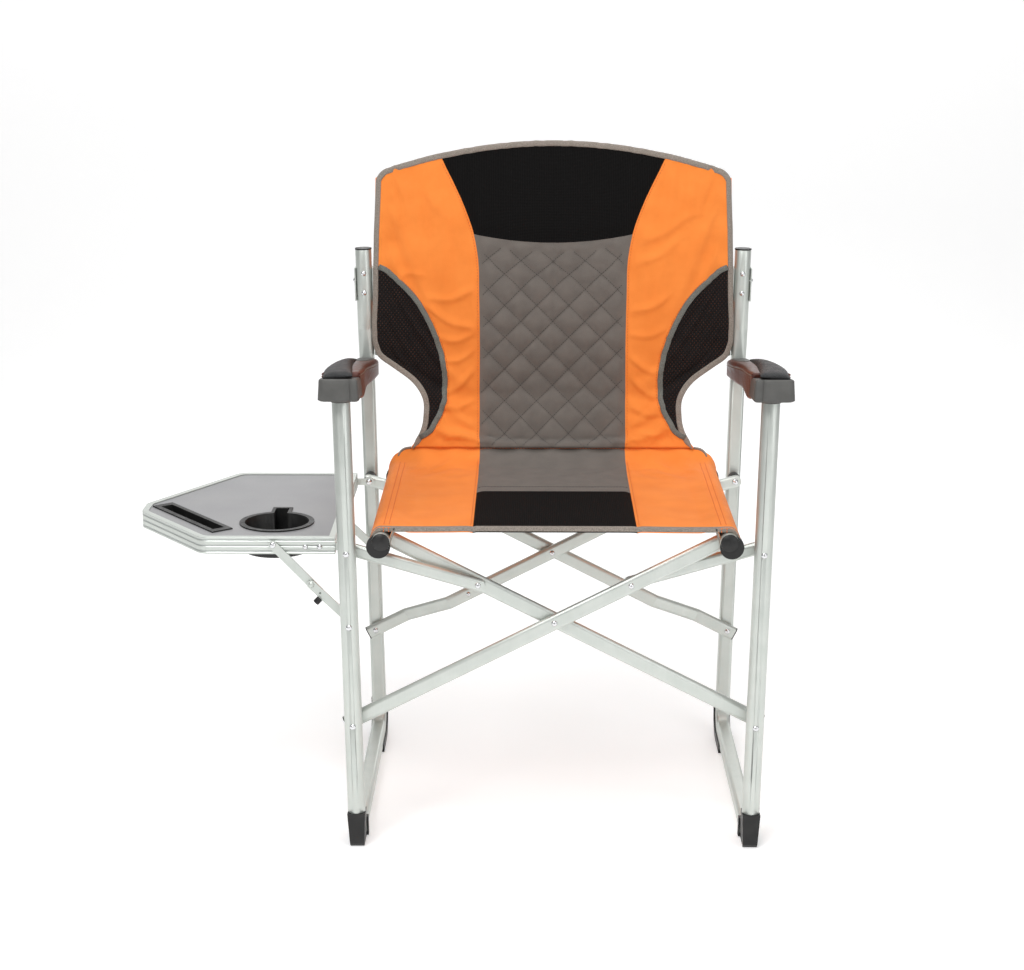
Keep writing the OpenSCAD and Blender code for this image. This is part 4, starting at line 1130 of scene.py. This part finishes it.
def groove_highlight_line(side):
    """A pale line laid in the groove of one side: a painted highlight along the groove."""
    stops = steps(NOSE_LEN, ARM_LEN - 0.003, 0.006)
    path = [arm_point(side * (arm_half(d) - 0.0009), d, arm_top(d) - groove_drop(d)) for d in stops]
    points, faces = sweep(path, [Vector((side, 0, 0))] * len(path), oval(0.0012, 0.0011, 8))
    return points, faces, 1


def insert_tongue():
    """The grey tongue let into the rear of the top."""
    rings = []
    for t in steps(0, 0.995, 0.06):
        half = INSERT_HALF * math.sqrt(1 - t * t)
        d = ARM_LEN - 0.0005 - INSERT_LEN * t
        right = [(half * 0.9, 0.0012), (half, 0.0007), (half, -0.002)]
        ring = [(-x, z) for x, z in reversed(right)] + right
        rings.append([arm_point(x, d, arm_top(d) + z) for x, z in ring])
    points, faces = loft(rings)
    return points, faces, 2


def make_moulding(name, side):
    body = loft([moulding_ring(d) for d in steps(NOSE_LEN - 0.012, ARM_LEN, FLUTE / 6)])
    # The two groove lines carry the pale painted highlight.
    parts = [(*body, 0), groove_highlight_line(1), groove_highlight_line(-1), insert_tongue()]
    return join(name, [sided(part, side) for part in parts], (BROWN, GROOVE_HIGHLIGHT, INSERT))


def pad_ring(d):
    """The pad's section: thin at its slanting inner edge, crowned, and turned down over the outer edge."""
    t = (d - PAD_FROM) / (PAD_TO - PAD_FROM)
    half = arm_half(d)
    outer = half + 0.0008 - 0.0068 * smooth(0.09, 0.0, d)
    inner = half * (-0.72 + 1.32 * t)
    crown = 0.0012 + 0.0080 * math.sin(math.pi * t ** 0.8) ** 0.9
    front = math.sqrt(1 - (1 - min((d - PAD_FROM) / 0.011, 1.0)) ** 2)
    ring = [(inner, -0.004)]
    for k in range(17):
        q = k / 16
        round_over = (1 - abs(2 * q - 1) ** 3.2) ** 0.62
        fall = 0.0045 * q ** 7 + 0.0028 * (1 - front)
        ring.append((inner + (outer - inner) * q, 0.0002 - fall + crown * round_over * front))
    ring.append((outer - 0.0015, -0.0075))
    return [arm_point(x, d, arm_top(d) + z) for x, z in ring]


def make_pad(name, side):
    near = [PAD_FROM + 0.011 * (1 - c) for _, c in quarter(6)[:-1]]
    rings = [pad_ring(d) for d in near + steps(PAD_FROM + 0.011, PAD_TO, 0.007)]
    return join(name, [sided((*loft(rings), 0), side)], (PAD,))


def nose_plan(inset, taper):
    """The nose's outline seen from above, with its seam groove on the inner side, as (x, d)."""
    half = NOSE_HALF * taper - inset
    inner_r, outer_r, front = 0.0045, 0.0095, inset
    line = [(-half, NOSE_LEN)]
    line += [(-half + inner_r * (1 - c), front + inner_r * (1 - s)) for s, c in quarter(6)]
    seam = ((-0.62, 0.0), (-0.60, 0.0009), (-0.57, 0.0009), (-0.55, -0.0004), (-0.2, -0.0006), (0.2, -0.0006))
    line += [(x * half, front + 0.0006 + depth) for x, depth in seam]
    line += [(half - outer_r * (1 - s), front + outer_r * (1 - c)) for s, c in quarter(8)]
    return line + [(half, NOSE_LEN)]


def make_nose(name, side):
    """The cover over the leg's top: a box with rounded edges, a little wider at its foot, and its collar."""
    edge, bottom = 0.0026, PAD_HIGH.z - 0.0366
    rings = []
    levels = [(0, edge), (0, edge * 0.35)] + [(share, 0.0) for share in (0.06, 0.25, 0.5, 0.75, 0.93)]
    for level, inset in levels + [(0.985, edge * 0.35), (1.0, edge)]:
        ring = []
        for x, d in nose_plan(inset, 1.0 - 0.075 * level):
            top = arm_top(d) - PAD_T
            low = bottom - 0.0035 * d / NOSE_LEN + (0.0012 if level == 0 and inset < edge else 0.0)
            ring.append(arm_point(x, d, low + (top - low) * level))
        rings.append(ring)
    points = corners_of("armrest_nose_right")
    foot = points[points[:, 2] < NOSE_LOW.z + 0.001]
    middle, radius = foot.mean(0), np.ptp(foot[:, 0]) / 2
    collar = []
    turn = [2 * math.pi * k / 32 for k in range(32)]
    for share, z in ((0.88, 0.0), (0.97, 0.0), (1.0, 0.0006), (1.0, 0.0125)):
        r = radius * share
        z += NOSE_LOW.z + 0.003
        collar.append([Vector((middle[0] + r * math.cos(a), middle[1] + r * math.sin(a), z)) for a in turn])
    return join(name, [sided((*loft(rings), 0), side), sided((*loft(collar), 0), side)], (NOSE,))


def make_armrests():
    for side, end in ((1, "right"), (-1, "left")):
        for kind, make, slot in (
            ("armrest", make_moulding, "armrest_brown"), ("armrest_pad", make_pad, "pad_charcoal"),
            ("armrest_nose", make_nose, "black_plastic"),
        ):
            piece = make(f"{kind}_{end}_moulded", side)
            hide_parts(f"{kind}_{end}")
            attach(piece, f"side_frame_{end}")


# ---------- stage ----------

def make_camera():
    camera = new_object("camera", bpy.data.cameras.new("camera"))
    camera.location = at(-0.033, -2.6868, 1.2064)
    camera.rotation_euler = (math.radians(90 - 14.21), 0, 0.0096)
    camera.data.lens = 71.75
    camera.data.sensor_width = 36
    bpy.context.scene.camera = camera


def make_floor():
    size, rise, curve = 6.0, 4.0, 1.2
    line = [(-size, 0.0), (size * 0.45, 0.0)]
    line += [(size * 0.45 + curve * s, curve * (1 - c)) for s, c in quarter(12)[1:]]
    line.append((line[-1][0], rise))
    points = [(x, y, z) for y, z in line for x in (-size, size)]
    faces = [(2 * k, 2 * k + 1, 2 * k + 3, 2 * k + 2) for k in range(len(line) - 1)]
    s = Shader("studio_floor", (0.84, 0.84, 0.84), 0.9, Emission_Color=(1, 1, 1, 1), Emission_Strength=0.34)
    s.bump(s.noise(40, 2), 0.0002, 0.1)
    floor = add_object("studio_floor", points, faces, (s.material,))


def make_lights():
    for name, spot, size, power in (
        ("key", (-0.9, -2.3, 2.9), 1.5, 62), ("fill", (2.2, -2.3, 1.5), 1.8, 20),
        ("top", (0.2, -0.2, 3.2), 1.6, 34), ("rim", (0.4, 2.6, 2.2), 2.0, 12),
    ):
        light = new_object(name, bpy.data.lights.new(name, "AREA"))
        light.location = spot
        light.rotation_euler = (Vector((0, 0, 0.5)) - Vector(spot)).to_track_quat("-Z", "Y").to_euler()
        light.data.size = size
        light.data.energy = power
    world = bpy.data.worlds.new("studio")
    world.use_nodes = True
    background = world.node_tree.nodes["Background"].inputs
    background["Color"].default_value = (1, 1, 1, 1)
    background["Strength"].default_value = 0.36
    bpy.context.scene.world = world
    bpy.context.scene.view_settings.view_transform = "Standard"


# ---------- putting it together ----------

def ride_back(*pieces):
    """Backrest pieces follow the left pole."""
    for piece in pieces:
        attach(piece, "back_pole_left")
        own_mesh(piece)


def ride_seat(*pieces):
    """Seat pieces hang between the two rails."""
    for piece in pieces:
        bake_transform(piece)


dress_cad_nodes()
make_armrests()

back, back_flat = make_back()
surface = back_lookup(back, back_flat)
rim_binding, lumbar_bindings = make_back_bindings(surface)
back_stitches = make_back_stitches(surface)
quilt_stitches = make_quilt_stitches(surface)
sleeves = [make_pole_sleeve("pole_sleeve_right", 1), make_pole_sleeve("pole_sleeve_left", -1)]
thicken(back, CLOTH_T, -1)
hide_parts("back_sling")
ride_back(back, rim_binding, lumbar_bindings, back_stitches, quilt_stitches)
for sleeve, pole in zip(sleeves, ("back_pole_right", "back_pole_left")):
    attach(sleeve, pole)

seat, seat_flat = make_seat()
seat_binding = make_seat_binding()
seat_stitches = make_seat_stitches()
thicken(seat, CLOTH_T, -1)
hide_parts("seat_sling")
ride_seat(seat, seat_binding, seat_stitches)

flat_area(back_flat)
flat_area(seat_flat)

make_camera()
make_floor()
make_lights()
